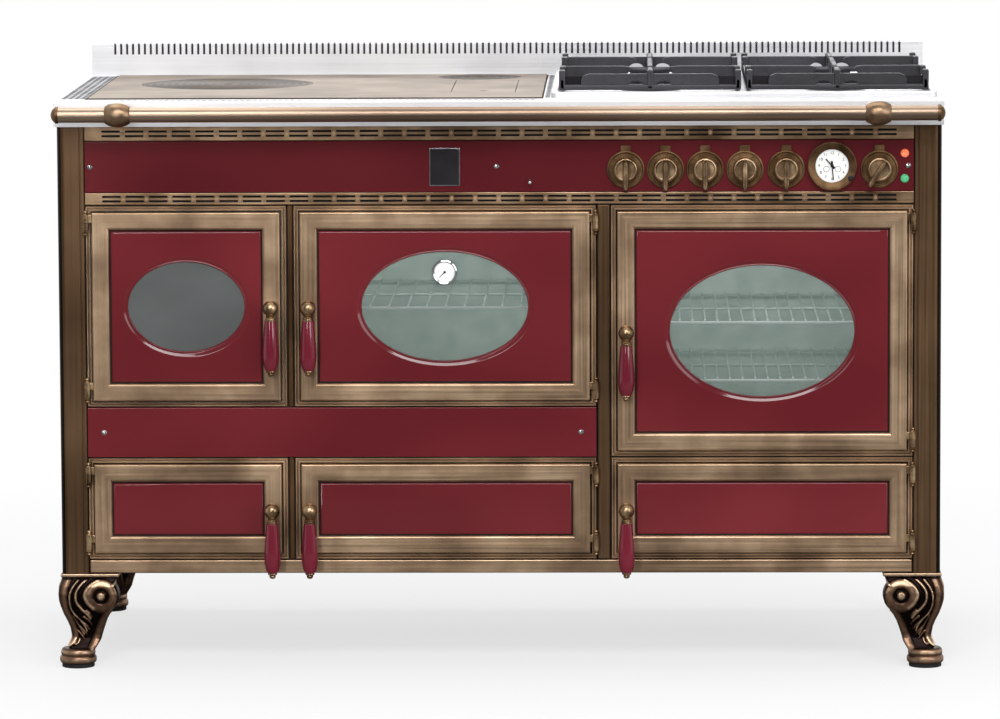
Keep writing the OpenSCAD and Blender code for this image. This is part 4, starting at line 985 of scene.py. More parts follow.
    def done(self, body: str, replaces: Sequence[str] = (), angle: float = 32.0,
             attribute: Optional[Callable[[Vector], float]] = None) -> bpy.types.Object:
        """Makes the object and puts it on its body.

        Args:
            body: The body that it rides on.
            replaces: CAD nodes that it stands for.
            angle: Angle in degrees above which an edge looks sharp.
            attribute: Gives the relief attribute of a point, where the finish reads it.

        Returns:
            The finished object.
        """
        mesh = bpy.data.meshes.new(self.name)
        if attribute is not None:
            values = [attribute(v.co) for v in self.bm.verts]
        bmesh.ops.scale(self.bm, vec=(MM, MM, MM), verts=self.bm.verts)
        self.bm.to_mesh(mesh)
        self.bm.free()
        if attribute is not None:
            layer = mesh.attributes.new("relief", "FLOAT", "POINT")
            layer.data.foreach_set("value", values)
        for finish in self.finishes:
            mesh.materials.append(finish.material())
        mesh.shade_smooth()
        mesh.set_sharp_from_angle(angle=math.radians(angle))
        obj = placed(self.name, mesh)
        obj.modifiers.new("weights", "WEIGHTED_NORMAL").keep_sharp = True
        obj.data = final_mesh(obj)
        obj.modifiers.clear()
        bpy.data.meshes.remove(mesh)
        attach(obj, body)
        if replaces:
            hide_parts(*replaces)
        LOG.info("%s rides on %s, %d faces", self.name, body, len(obj.data.polygons))
        return obj


def arc(centre: Flat, radius: float, start: float, end: float, steps: int) -> List[Flat]:
    """Points on an arc.

    Args:
        centre: Middle of the arc.
        radius: Its radius.
        start: First angle in degrees.
        end: Last angle in degrees.
        steps: Number of steps.

    Returns:
        The points.
    """
    out = []
    for i in range(steps + 1):
        angle = math.radians(start + (end - start) * i / steps)
        out.append((centre[0] + radius * math.cos(angle), centre[1] + radius * math.sin(angle)))
    return out


# ---- Repeated pieces ------------------------------------------------------------------------------


@dataclass
class Repeat:
    """Geometry Nodes that copy one small shape over a grid or along a path.

    Attributes:
        name: Name of the node tree and of its carrier.
    """

    name: str

    def _wire(self, tree: bpy.types.NodeTree,
              *runs: Tuple[bpy.types.Node, str, bpy.types.Node, str]) -> None:
        """Links nodes, each run given as node, output, node and input."""
        for source, output, target, entry in runs:
            tree.links.new(source.outputs[output], target.inputs[entry])

    def _tree(self, finish: Finish) -> Tuple[bpy.types.NodeTree, Dict[str, bpy.types.Node]]:
        """Starts a tree whose end is Realize Instances and Set Material."""
        tree = bpy.data.node_groups.new(self.name, "GeometryNodeTree")
        tree.interface.new_socket("Geometry", in_out="INPUT", socket_type="NodeSocketGeometry")
        tree.interface.new_socket("Geometry", in_out="OUTPUT", socket_type="NodeSocketGeometry")
        nodes = {
            "input": tree.nodes.new("NodeGroupInput"),
            "output": tree.nodes.new("NodeGroupOutput"),
            "copies": tree.nodes.new("GeometryNodeInstanceOnPoints"),
            "realize": tree.nodes.new("GeometryNodeRealizeInstances"),
            "material": tree.nodes.new("GeometryNodeSetMaterial"),
        }
        nodes["material"].inputs["Material"].default_value = finish.material()
        self._wire(
            tree,
            (nodes["copies"], "Instances", nodes["realize"], "Geometry"),
            (nodes["realize"], "Geometry", nodes["material"], "Geometry"),
            (nodes["material"], "Geometry", nodes["output"], "Geometry"),
            (nodes["input"], "Geometry", nodes["copies"], "Instance"),
        )
        return tree, nodes

    def _named(self, tree: bpy.types.NodeTree, name: str, kind: str = "NodeSocketFloat") -> str:
        """Adds a named input to a tree and gives its identifier."""
        return tree.interface.new_socket(name, in_out="INPUT", socket_type=kind).identifier

    def _run(self, master: bpy.types.Object, tree: bpy.types.NodeTree,
             values: Dict[str, object]) -> bpy.types.Object:
        """Puts the tree on the master shape and turns the result into a plain mesh."""
        modifier = master.modifiers.new(self.name, "NODES")
        modifier.node_group = tree
        for identifier, value in values.items():
            modifier[identifier] = value
        mesh = final_mesh(master)
        master.modifiers.remove(modifier)
        bpy.data.objects.remove(master)
        return placed(self.name, mesh)

    def grid(self, master: bpy.types.Object, finish: Finish, counts: Tuple[int, int],
             pitch: Flat, middle: Point) -> bpy.types.Object:
        """Copies a shape over a flat grid.

        Args:
            master: The shape, in metres round the origin. It is used up.
            finish: Finish of the copies.
            counts: Copies along X and along Y.
            pitch: Distance between copies along X and Y, in millimetres.
            middle: Middle of the grid, in millimetres.

        Returns:
            The copies as one mesh.
        """
        tree, nodes = self._tree(finish)
        keys = [self._named(tree, "Columns", "NodeSocketInt"), self._named(tree, "Rows", "NodeSocketInt"),
                self._named(tree, "Width"), self._named(tree, "Depth"),
                self._named(tree, "Middle", "NodeSocketVector")]
        grid = tree.nodes.new("GeometryNodeMeshGrid")
        shift = tree.nodes.new("GeometryNodeTransform")
        given = nodes["input"]
        self._wire(
            tree,
            (given, "Columns", grid, "Vertices X"),
            (given, "Rows", grid, "Vertices Y"),
            (given, "Width", grid, "Size X"),
            (given, "Depth", grid, "Size Y"),
            (grid, "Mesh", shift, "Geometry"),
            (given, "Middle", shift, "Translation"),
            (shift, "Geometry", nodes["copies"], "Points"),
        )
        sizes = [(c - 1) * p * MM for c, p in zip(counts, pitch)]
        values = [counts[0], counts[1], sizes[0], sizes[1], tuple(c * MM for c in middle)]
        return self._run(master, tree, dict(zip(keys, values)))

    def path(self, master: bpy.types.Object, finish: Finish, points: Sequence[Point],
             pitch: float) -> bpy.types.Object:
        """Copies a shape along a closed path, turned to follow it.

        Args:
            master: The shape, in metres round the origin, with its length along X. It is used up.
            finish: Finish of the copies.
            points: Corners of the path, in millimetres.
            pitch: Distance between copies, in millimetres.

        Returns:
            The copies as one mesh.
        """
        curve = bpy.data.curves.new(self.name + "_path", "CURVE")
        curve.dimensions = "3D"
        spline = curve.splines.new("POLY")
        spline.points.add(len(points) - 1)
        for spot, point in zip(spline.points, points):
            spot.co = (*[c * MM for c in point], 1.0)
        spline.use_cyclic_u = True
        rail = placed(self.name + "_path", curve)
        tree, nodes = self._tree(finish)
        key = self._named(tree, "Pitch")
        target = self._named(tree, "Path", "NodeSocketObject")
        info = tree.nodes.new("GeometryNodeObjectInfo")
        steps = tree.nodes.new("GeometryNodeCurveToPoints")
        steps.mode = "LENGTH"
        self._wire(
            tree,
            (nodes["input"], "Path", info, "Object"),
            (info, "Geometry", steps, "Curve"),
            (nodes["input"], "Pitch", steps, "Length"),
            (steps, "Points", nodes["copies"], "Points"),
            (steps, "Rotation", nodes["copies"], "Rotation"),
        )
        result = self._run(master, tree, {key: pitch * MM, target: rail})
        bpy.data.objects.remove(rail)
        return result


def loose(build: Callable[[Shape], None], name: str) -> bpy.types.Object:
    """Builds a small shape that Geometry Nodes will copy.

    Args:
        build: Adds the shape's parts round the origin, in millimetres.
        name: Its name.

    Returns:
        The shape as an object in metres.
    """
    shape = Shape(name)
    build(shape)
    mesh = bpy.data.meshes.new(name)
    bmesh.ops.scale(shape.bm, vec=(MM, MM, MM), verts=shape.bm.verts)
    shape.bm.to_mesh(mesh)
    shape.bm.free()
    return placed(name, mesh)


# ---- Camera and stage -----------------------------------------------------------------------------


@dataclass
class Studio:
    """The camera at the photograph's angle, a plain floor and soft lamps."""

    place: Point = (218.3, -9421.7, 1532.0)
    yaw: float = 0.0238
    pitch: float = 0.1130
    roll: float = 0.0045
    lens: float = 208.5
    floor_size: float = 2.3

    def camera(self) -> None:
        """Sets the camera."""
        data = bpy.data.cameras.new("camera")
        data.lens = self.lens
        data.sensor_width = 36.0
        data.clip_end = 60.0
        camera = placed("camera", data)
        turn = Matrix.Rotation(self.yaw, 4, "Z") @ Matrix.Rotation(math.pi / 2 - self.pitch, 4, "X")
        turn = turn @ Matrix.Rotation(-self.roll, 4, "Z")
        camera.matrix_world = Matrix.Translation([c * MM for c in self.place]) @ turn
        bpy.context.scene.camera = camera

    def world(self) -> None:
        """A white background, darker in front of the cooker where only glossy rays see it."""
        world = bpy.data.worlds.new("studio")
        bpy.context.scene.world = world
        nodes = Nodes(world, "ShaderNodeOutputWorld")
        rays = nodes.add("ShaderNodeLightPath").outputs
        where = nodes.add("ShaderNodeTexCoord")
        split = nodes.add("ShaderNodeSeparateXYZ", Vector=where.outputs["Generated"])
        depth = nodes.span(split.outputs["Y"], 0.16, 1.0, -0.75, 0.15)
        light = nodes.add("ShaderNodeBackground", Color=(0.95, 0.97, 1.0), Strength=0.42)
        mirror = nodes.add("ShaderNodeBackground", Color=(0.95, 0.95, 0.95), Strength=depth)
        white = nodes.add("ShaderNodeBackground", Color=(1.0, 1.0, 1.0), Strength=1.0)
        seen = nodes.maths("MAXIMUM", rays["Is Glossy Ray"], rays["Is Transmission Ray"])
        lit = nodes.either(seen, light.outputs["Background"], mirror.outputs["Background"])
        shown = nodes.either(rays["Is Camera Ray"], lit, white.outputs["Background"])
        nodes.feed(nodes.output.inputs["Surface"], shown)

    def floor(self) -> None:
        """A plain pale floor that takes the cooker's shadow."""
        material = bpy.data.materials.new("floor")
        nodes = Nodes(material)
        rays = nodes.add("ShaderNodeLightPath").outputs
        pale = nodes.mix(rays["Is Glossy Ray"], (0.8, 0.8, 0.8), (0.22, 0.21, 0.2))
        chalk = nodes.add("ShaderNodeBsdfDiffuse", Color=pale)
        white = nodes.add("ShaderNodeEmission", Color=(1.0, 1.0, 1.0), Strength=1.0)
        where = nodes.add("ShaderNodeTexCoord")
        reach = nodes.add("ShaderNodeVectorMath", Vector=where.outputs["Object"])
        reach.operation = "LENGTH"
        fade = nodes.span(reach.outputs["Value"], 0.7, 1.0, 0.9, 2.2)
        share = nodes.maths("MULTIPLY", rays["Is Camera Ray"], fade)
        both = nodes.either(share, chalk.outputs["BSDF"], white.outputs["Emission"])
        nodes.feed(nodes.output.inputs["Surface"], both)
        mesh = bpy.data.meshes.new("floor")
        half = self.floor_size
        corners = [(-half, -half, 0), (half, -half, 0), (half, half, 0), (-half, half, 0)]
        mesh.from_pydata(corners, [], [(0, 1, 2, 3)])
        mesh.materials.append(material)
        placed("floor", mesh)

    def lamp(self, name: str, place: Point, aim: Point, size: Flat, power: float) -> None:
        """Adds a soft box.

        Args:
            name: Its name.
            place: Where it stands, in metres.
            aim: The point that it looks at, in metres.
            size: Width and height in metres.
            power: Power in watts.
        """
        data = bpy.data.lights.new(name, "AREA")
        data.shape = "RECTANGLE"
        data.size, data.size_y = size
        data.energy = power
        look = (Vector(aim) - Vector(place)).to_track_quat("-Z", "Y").to_matrix().to_4x4()
        placed(name, data).matrix_world = Matrix.Translation(place) @ look

    def build(self) -> None:
        """Sets the camera, the world, the floor and the lamps."""
        self.camera()
        self.world()
        self.floor()
        middle = (0.0, 0.0, 0.55)
        self.lamp("key", (0.2, -4.6, 3.9), middle, (3.0, 1.2), 165.0)
        self.lamp("fill", (3.4, -3.8, 2.0), middle, (2.2, 2.6), 80.0)
        self.lamp("top", (0.0, 0.4, 4.2), middle, (4.0, 2.4), 80.0)
        self.lamp("strip", (-1.5, -6.2, 2.2), (0.0, -0.3, 0.6), (0.4, 2.4), 60.0)
        self.lamp("wood_oven_lamp", (-0.086, -0.2, 0.69), (-0.086, 0.1, 0.5), (0.3, 0.05), 1.0)
        self.lamp("electric_oven_lamp", (0.4165, -0.2, 0.69), (0.4165, 0.1, 0.4), (0.3, 0.05), 1.3)
        self.lamp("rear", (0.0, 4.6, 3.2), middle, (3.0, 1.6), 60.0)
        bpy.context.scene.view_settings.view_transform = "Standard"
        LOG.info("stage set")


# ---- Front ----------------------------------------------------------------------------------------


def mitred(shape: Shape, x: Span, z: Span, profile: Sequence[Flat], across: Finish,
           upright: Finish) -> None:
    """Adds four mitred members round a rectangle on the front.

    Args:
        shape: The piece that they are added to.
        x: Range of the rectangle along X.
        z: Range of the rectangle along Z.
        profile: Closed profile of distance inside the rectangle and Y.
        across: Finish of the members along X.
        upright: Finish of the members along Z.
    """
    corners = []
    for sx, sz in ((0, 0), (1, 0), (1, 1), (0, 1)):
        ring = []
        for inset, y in profile:
            ring.append((x[sx] + (inset if sx == 0 else -inset), y, z[sz] + (inset if sz == 0 else -inset)))
        corners.append(ring)
    for i in range(4):
        shape.loft([corners[i], corners[(i + 1) % 4]], across if i % 2 == 0 else upright)


@dataclass
class CornerPosts:
    """The two bronze posts at the ends of the front."""

    radius: float = 12.0
    groove: float = 5.0

    def outline(self, side: int) -> List[Flat]:
        """Outline of a post seen from above, as X and Y.

        Args:
            side: -1 for the left post, 1 for the right one.

        Returns:
            The closed outline.
        """
        inner = PLAN.right[1] + 0.5
        outer = PLAN.body_half
        skin = PLAN.skin
        points = [(inner, PLAN.bars), (inner, skin + 1.0), (inner + 1.0, skin)]
        points += [(inner + self.groove, skin), (inner + self.groove + 0.5, skin + 2.2)]
        points += [(inner + self.groove + 2.2, skin + 2.2), (inner + self.groove + 2.7, skin)]
        points += arc((outer - self.radius, skin + self.radius), self.radius, -90.0, 0.0, 10)
        points += [(outer, skin + PLAN.post_depth), (outer - 1.6, skin + PLAN.post_depth),
                   (outer - 1.6, PLAN.bars)]
        return [(side * x, y) for x, y in points]

    def build(self) -> None:
        """Builds both posts."""
        shape = Shape("corner_posts_look")
        height = (PLAN.foot_top, PLAN.worktop[0] - 0.3)
        outer, r = PLAN.body_half, self.radius
        for side in (-1, 1):
            shape.prism(self.outline(side), Axis.Z, height, Look.POST)
            # Painted shade: a near-black skin over the rounded outer corner of each post.
            skin = arc((outer - r, PLAN.skin + r), r + 0.15, -62.0, 0.0,
                       8) + [(outer + 0.15, PLAN.skin + PLAN.post_depth)]
            back = [(outer - 1.0, PLAN.skin + PLAN.post_depth)] + arc((outer - r, PLAN.skin + r), r - 1.0,
                                                                      0.0, -62.0, 8)
            shape.prism([(side * x, y) for x, y in skin + back], Axis.Z, height, Look.EDGE)
        shape.done("range", ["corner_posts"])


class Side(Enum):
    """The side of a door that its hinges are on."""

    LEFT = -1
    RIGHT = 1


@dataclass(frozen=True)
class DoorPlan:
    """One door's opening and hinge side.

    Attributes:
        name: Start of the names of the door's nodes.
        column: Range of the column along X.
        row: Range of the row along Z.
        hinges: The side of its hinges.
        window: Width and height of its oval window, or None.
    """

    name: str
    column: Span
    row: Span
    hinges: Side
    window: Optional[Flat] = None

    @property
    def x(self) -> Span:
        """Range of the door leaf along X."""
        return (self.column[0] + 10.5, self.column[1] - 10.5)

    @property
    def z(self) -> Span:
        """Range of the door leaf along Z."""
        return (self.row[0] + 10.5, self.row[1] - 10.5)

    @property
    def middle(self) -> Flat:
        """Middle of the leaf."""
        return ((self.x[0] + self.x[1]) / 2, (self.z[0] + self.z[1]) / 2)

    @property
    def hinge_x(self) -> float:
        """X of the hinge pins."""
        return self.x[0] - 9.0 if self.hinges is Side.LEFT else self.x[1] + 9.0

    @property
    def hinge_z(self) -> Flat:
        """Heights where the two hinges start."""
        return (self.z[0] + 4.0, self.z[1] - 30.0)

    @property
    def handle_x(self) -> float:
        """X of the handle's spindle."""
        return self.x[1] - 14.25 if self.hinges is Side.LEFT else self.x[0] + 14.25


FIRE = DoorPlan("firebox", PLAN.left, PLAN.upper, Side.LEFT, (185.0, 142.0))
WOOD = DoorPlan("wood_oven", PLAN.middle, PLAN.upper, Side.RIGHT, (264.0, 173.0))
ELECTRIC = DoorPlan("electric_oven", PLAN.right, PLAN.tall, Side.RIGHT, (292.0, 208.0))
ASH = DoorPlan("ash", PLAN.left, PLAN.lower, Side.LEFT)
DRAWER = DoorPlan("drawer", PLAN.middle, PLAN.lower, Side.RIGHT)
WARMING = DoorPlan("warming", PLAN.right, PLAN.lower, Side.RIGHT)
DOORS = (FIRE, WOOD, ELECTRIC, ASH, DRAWER, WARMING)
HINGE_Y = -299.25


@dataclass
class Surrounds:
    """Door surrounds with their fixed hinge halves, the stiles and the sill."""

    width: float = 8.0
    knuckle: float = 13.0
    barrel: float = 5.0

    def profile(self) -> List[Flat]:
        """Two thin ridges with a groove between them."""
        front = PLAN.skin + 2.0
        w = self.width
        return [
            (0.0, PLAN.bars), (0.0, front + 0.9), (0.7, front), (2.1, front), (2.9, front + 0.6),
            (3.4, front + 1.5),
            (4.0, front + 1.5), (4.5, front + 0.6), (5.3, front), (w - 0.8, front), (w, front + 0.9),
            (w, PLAN.bars),
        ]

    def fixed_hinge(self, shape: Shape, door: DoorPlan, z: float) -> None:
        """Adds the fixed knuckle with its finials and its lug.

        Args:
            shape: The piece that it is added to.
            door: The door.
            z: Height where the hinge starts.
        """
        r = self.barrel
        x = door.hinge_x
        low = [(0.0, -7.0), (1.6, -6.9), (2.9, -5.9), (3.5, -4.6), (2.9, -3.4), (2.0, -2.6), (3.0, -1.4),
               (4.0, -0.6)]
        body = [(r, 0.0), (r, 1.2), (r - 0.5, 1.6), (r - 0.5, 2.1), (r, 2.5), (r, self.knuckle),
                (0.0, self.knuckle)]
        shape.lathe(low + body, (x, HINGE_Y, z), Axis.Z, Look.TURNED, 20)
        top = z + 2 * self.knuckle + 0.6
        high = [(0.0, 0.0), (r - 1, 0.0), (3.0, 1.2), (2.0, 2.4), (3.0, 3.2), (3.5, 4.4), (2.9, 5.8),
                (1.6, 6.8), (0.0, 7.0)]
        shape.lathe(high, (x, HINGE_Y, top), Axis.Z, Look.TURNED, 20)
        shape.rod(3.0, (0.0, 14.6), (x, HINGE_Y, z + self.knuckle), Axis.Z, Look.TURNED, 16)
        lug = (door.column[0] + 1.0, x + 3.0)
        if door.hinges is Side.RIGHT:
            lug = (x - 3.0, door.column[1] - 1.0)
        shape.box(lug, (HINGE_Y + 1.0, PLAN.skin + 2.6), (z + 0.6, z + self.knuckle - 0.6), Look.TURNED,
                  0.8)

    def build(self) -> None:
        """Builds the surrounds, stiles and sill as one piece."""
        shape = Shape("door_surrounds_look")
        for door in DOORS:
            x = (door.column[0] + 1.0, door.column[1] - 1.0)
            z = (door.row[0] + 1.0, door.row[1] - 1.0)
            mitred(shape, x, z, self.profile(), Look.RAIL_X, Look.RAIL_Z)
            for height in door.hinge_z:
                self.fixed_hinge(shape, door, height)
        for row in (PLAN.lower, PLAN.upper):
            shape.box((PLAN.left[1] + 1, PLAN.middle[0] - 1), (PLAN.skin + 6, PLAN.bars), row, Look.STILE,
                      1.5)
        stile = (PLAN.middle[1] + 1, PLAN.right[0] - 1)
        shape.box(stile, (PLAN.skin + 2, PLAN.bars), (PLAN.lower[0], PLAN.upper[1]), Look.POST, 2.0, 3)
        sill = (PLAN.foot_top, PLAN.lower[0] - 1)
        shape.box((PLAN.left[0] + 1, PLAN.right[1] - 1), (PLAN.skin + 3, PLAN.bars), sill, Look.RAIL_X, 2.5,
                  3)
        shape.done("range", ["door_surrounds"])


@dataclass
class RopeSeal:
    """The braided seal round the firebox door, from beads that follow a path."""

    radius: float = 1.7

    def bead(self, shape: Shape) -> None:
        """One strand of the braid, lying askew to the path.

        Args:
            shape: The shape that it is added to.
        """
        rings = []
        for i in range(5):
            share = i / 4
            size = self.radius * (0.45 + 0.55 * math.sin(math.pi * share))
            along = (share - 0.5) * 5.4
            aside = (share - 0.5) * 1.5
            rings.append([(along, aside + size * 0.62 * math.cos(a),
                           size * 0.9 * math.sin(a)) for a in around(7)])
        shape.loft(rings, Look.ROPE)

    def build(self) -> None:
        """Builds the seal round the firebox door."""
        off = self.radius + 0.15
        x = (FIRE.x[0] - off, FIRE.x[1] + off)
        z = (FIRE.z[0] - off, FIRE.z[1] + off)
        y = PLAN.skin + 2.0 - self.radius
        corners = oblong(x, z, y, Axis.Y)
        strands = Repeat("seal_strands").path(loose(self.bead, "strand"), Look.ROPE, corners, 2.6)
        shape = Shape("firebox_seal")
        shape.add(strands, Look.ROPE)
        shape.done("range", angle=80.0)


@dataclass
class Door:
    """One door: mitred frame, enamel panel, hinge knuckles and handle.

    Attributes:
        plan: The door's place.
        frame_width: Width of the bronze members.
        lap: Rear flange that holds the panel and the glass.
        pressed: Soft edge of the enamel panel, as distance inwards and distance behind its face.
        dish_width: Width of the dish round the window.
        dish_depth: Depth of the dish.
        ball: Radius of the handle's ball.
        neck: From the ball's middle down to the grip.
    """

    plan: DoorPlan
    frame_width: float = 28.5
    lap: float = 6.0
    pressed: Tuple[Flat, ...] = ((1.4, 4.0), (1.4, 2.4), (2.0, 1.2), (3.0, 0.4), (4.4, 0.0), (6.0, 0.0))
    dish_width: float = 9.0
    dish_depth: float = 2.5
    ball: float = 12.5
    neck: float = 19.5

    @property
    def body(self) -> str:
        """The body that the door's leaf rides on."""
        return self.plan.name + "_door_leaf"

    @property
    def face(self) -> float:
        """Y of the enamel panel's face."""
        return PLAN.door_front + 3.0

    def frame_profile(self) -> List[Flat]:
        """Section through a member of the frame: rounded outside, sloped inside."""
        front = PLAN.door_front
        w = self.frame_width
        return [
            (0.0, PLAN.door_back), (0.0, front + 2.4), (0.35, front + 1.2), (1.2, front + 0.35),
            (2.4, front),
            (w - 4.2, front), (w - 2.6, front + 0.5), (w - 1.2, front + 1.7), (w - 0.4, front + 3.2),
            (w, front + 5.0),
            (w, front + 7.0), (w + self.lap, front + 7.0), (w + self.lap, PLAN.door_back),
        ]

    def hinge(self, shape: Shape, z: float) -> None:
        """Adds the moving knuckle of a hinge and its arm.

        Args:
            shape: The piece that it is added to.
            z: Height where the hinge starts.
        """
        x = self.plan.hinge_x
        base = z + 13.3
        profile = [(3.05, 0.0), (5.0, 0.0), (5.0, 10.5), (4.5, 10.9), (4.5, 11.4), (5.0, 11.8), (5.0, 13.0),
                   (3.05, 13.0)]
        rings = []
        for radius, along in profile:
            rings.append(circle((x, HINGE_Y, base + along), radius, Axis.Z, 20))
        shape.loft(rings, Look.TURNED, capped=False)
        edge = (x + 4.0, x + 10.0) if self.plan.hinges is Side.LEFT else (x - 10.0, x - 4.0)
        shape.box(edge, (PLAN.door_front + 0.6, PLAN.door_front + 5.4), (base + 0.5, base + 12.5),
                  Look.TURNED, 0.8)

    def frame(self) -> None:
        """Builds the frame, and on a plain door its panel too."""
        shape = Shape(self.plan.name + "_door_look")
        mitred(shape, self.plan.x, self.plan.z, self.frame_profile(), Look.RAIL_X, Look.RAIL_Z)
        w, front = self.frame_width, PLAN.door_front
        # Painted shade: a dark ring behind the gap between the frame and the panel.
        gap = [(w, front + 5.4), (w + 2.5, front + 5.4), (w + 2.5, front + 6.9), (w, front + 6.9)]
        mitred(shape, self.plan.x, self.plan.z, gap, Look.DARK, Look.DARK)
        for height in self.plan.hinge_z:
            self.hinge(shape, height)
        if self.plan.window is None:
            self.plain_panel(shape)
        shape.done(self.body, [self.plan.name + "_door"])

    def plain_panel(self, shape: Shape) -> None:
        """Adds a plain enamel panel with a softly pressed edge.

        Args:
            shape: The piece that it is added to.
        """
        inset = self.frame_width + 0.3
        x = (self.plan.x[0] + inset, self.plan.x[1] - inset)
        z = (self.plan.z[0] + inset, self.plan.z[1] - inset)
        rings = []
        for step, behind in self.pressed:
            rings.append(oblong(x, z, self.face + behind, Axis.Y, step))
        shape.loft(rings, Look.ENAMEL)

    def window_panel(self) -> None:
        """Builds the enamel panel with its dished oval opening."""
        shape = Shape(self.plan.name + "_panel_look")
        inset = self.frame_width + 0.3
        half = ((self.plan.x[1] - self.plan.x[0]) / 2 - inset,
                (self.plan.z[1] - self.plan.z[0]) / 2 - inset)
        cx, cz = self.plan.middle
        width, height = self.plan.window
        corner = math.atan2(half[1], half[0])
        angles = sorted(around(120) + [corner, math.pi - corner, math.pi + corner, 2 * math.pi - corner])

        def square(angle: float, step: float) -> Flat:
            """Point on the panel's edge, moved inwards."""
            reach = min(half[0] / max(abs(math.cos(angle)), 1e-6),
                        half[1] / max(abs(math.sin(angle)), 1e-6))
            x = max(-half[0] + step, min(half[0] - step, reach * math.cos(angle)))
            z = max(-half[1] + step, min(half[1] - step, reach * math.sin(angle)))
            return (x, z)

        def oval(angle: float, out: float) -> Flat:
            """Point round the window, moved outwards."""
            turn = math.atan2(math.sin(angle) * width, math.cos(angle) * height)
            return ((width / 2 + out) * math.cos(turn), (height / 2 + out) * math.sin(turn))

        rings = []
        for step, behind in self.pressed:
            rings.append([(cx + x, self.face + behind, cz + z) for x,
                          z in (square(a, step) for a in angles)])
        w, h = self.dish_width, self.dish_depth
        dish = [(w + 2.6, 0.0), (w + 1.0, -0.05), (w, -0.2), (w - 1.0, -0.2 * h), (w - 2.0, -0.38 * h),
                (w - 3.2, -0.6 * h),
                (w - 4.4, -0.84 * h), (w - 5.4, -h), (w - 6.2, -h), (w - 6.8, -0.86 * h),
                (w - 7.5, -0.76 * h),
                (w - 8.2, -0.84 * h), (0.2, -1.2 * h), (0.0, -4.0)]
        for out, ahead in dish:
            rings.append([(cx + x, self.face - ahead, cz + z) for x, z in (oval(a, out) for a in angles)])
        shape.loft(rings, Look.ENAMEL, capped=False)
        shape.done(self.body, [self.plan.name + "_door_panel"], angle=50.0)

    def handle(self) -> None:
        """Builds the drop handle with its rose, spindle and latch tongue."""
        shape = Shape(self.plan.name + "_handle_look")
        x = self.plan.handle_x
        z = self.plan.middle[1]
        y = PLAN.door_front - 26.0
        r = self.ball
        ball = [(0.0, r)] + [(r * math.sin(a),
                              r * math.cos(a)) for a in (math.pi * k / 14 for k in range(1, 14))]
        shape.lathe(ball + [(0.0, -r)], (x, y, z), Axis.Z, Look.TURNED, 28)
        collar = [(0.0, -8.0), (7.6, -9.6), (7.0, -11.2), (6.2, -12.6), (7.4, -13.4), (8.2, -14.4),
                  (8.2, -15.6), (7.2, -16.4),
                  (7.4, -17.2), (8.8, -18.0), (8.8, -19.4), (0.0, -19.4)]
        shape.lathe(collar, (x, y, z), Axis.Z, Look.TURNED, 28)
        grip = [(0.0, 0.0), (8.2, 0.0), (9.2, -1.0), (9.8, -6.0), (10.6, -14.0), (11.6, -26.0),
                (12.5, -38.0),
                (13.1, -48.0), (13.2, -57.0), (12.6, -65.0), (11.2, -72.0), (9.2, -77.0), (6.8, -80.0),
                (0.0, -80.0)]
        shape.lathe(grip, (x, y, z - self.neck), Axis.Z, Look.GRIP, 32)
        end = [(0.0, 0.0), (5.6, 0.0), (7.4, -0.8), (7.6, -2.2), (6.4, -3.6), (4.6, -4.4), (5.2, -5.6),
               (4.8, -7.6),
               (3.0, -9.4), (0.0, -10.0)]
        shape.lathe(end, (x, y, z - self.neck - 78.8), Axis.Z, Look.TURNED, 24)
        shape.rod(4.0, (0.0, 47.8), (x, y, z), Axis.Y, Look.TURNED, 24)
        rose = [(0.0, 0.3), (8.0, 0.3), (8.0, 1.6), (7.2, 2.4), (6.4, 2.6), (5.6, 4.0), (4.6, 4.9),
                (0.0, 5.0)]
        shape.boss(rose, (x, PLAN.door_front, z), Look.TURNED, 24)
        side = 1 if self.plan.hinges is Side.LEFT else -1
        tongue = (x - 4.0, x + 8.0) if side > 0 else (x - 8.0, x + 4.0)
        shape.box(tongue, (PLAN.door_back + 0.3, PLAN.door_back + 4.3), (z - 4, z + 4), Look.FRAME, 0.8)
        shape.done(self.plan.name + "_handle", [self.plan.name + "_handle"])

    def build(self) -> None:
        """Builds the whole door."""
        self.frame()
        if self.plan.window is not None:
            self.window_panel()
        self.handle()


@dataclass
class Thermometer:
    """The dial thermometer on the wood oven's glass."""

    radius: float = 20.0

    def build(self) -> None:
        """Builds the rim, the dial, its ticks and its hand."""
        low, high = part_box("oven_thermometer")
        x, z = (low.x + high.x) / 2 / MM, (low.z + high.z) / 2 / MM
        back = high.y / MM
        shape = Shape("oven_thermometer_look")
        r = self.radius
        rim = [(0.0, 0.0), (r - 2, 0.0), (r, 1.6), (r, 4.6), (r - 0.8, 5.8), (r - 2.0, 6.3), (r - 3.2, 5.8),
               (r - 3.8, 4.6),
               (r - 3.9, 3.4), (0.0, 3.4)]
        shape.boss(rim, (x, back, z), Look.CHROME, 48)
        shape.rod(r - 4.2, (3.5, 3.8), (x, back, z), Axis.Y, Look.DIAL, 40, -1)
        ring = circle((x, back - 3.95, z), 13.2, Axis.Y, 48)
        tick = loose(lambda s: s.box((-0.3, 0.3), (-1.4, 1.4), (-0.12, 0.12), Look.BLACK, 0.05, 1),
                     "thermometer_tick")
        shape.add(Repeat("thermometer_ticks").path(tick, Look.BLACK, ring, 3.45), Look.BLACK)
        hand = [(x - 8.6, z - 8.0), (x - 7.9, z - 8.7), (x + 1.6, z + 0.6), (x + 0.6, z + 1.6)]
        shape.prism(hand, Axis.Y, (back - 4.5, back - 4.1), Look.BLACK)
        hub = [(0.0, 3.8), (2.0, 3.8), (2.0, 5.0), (1.4, 5.4), (0.0, 5.4)]
        shape.boss(hub, (x, back, z), Look.BLACK, 20)
        shape.done("wood_oven_door_leaf", ["oven_thermometer"])


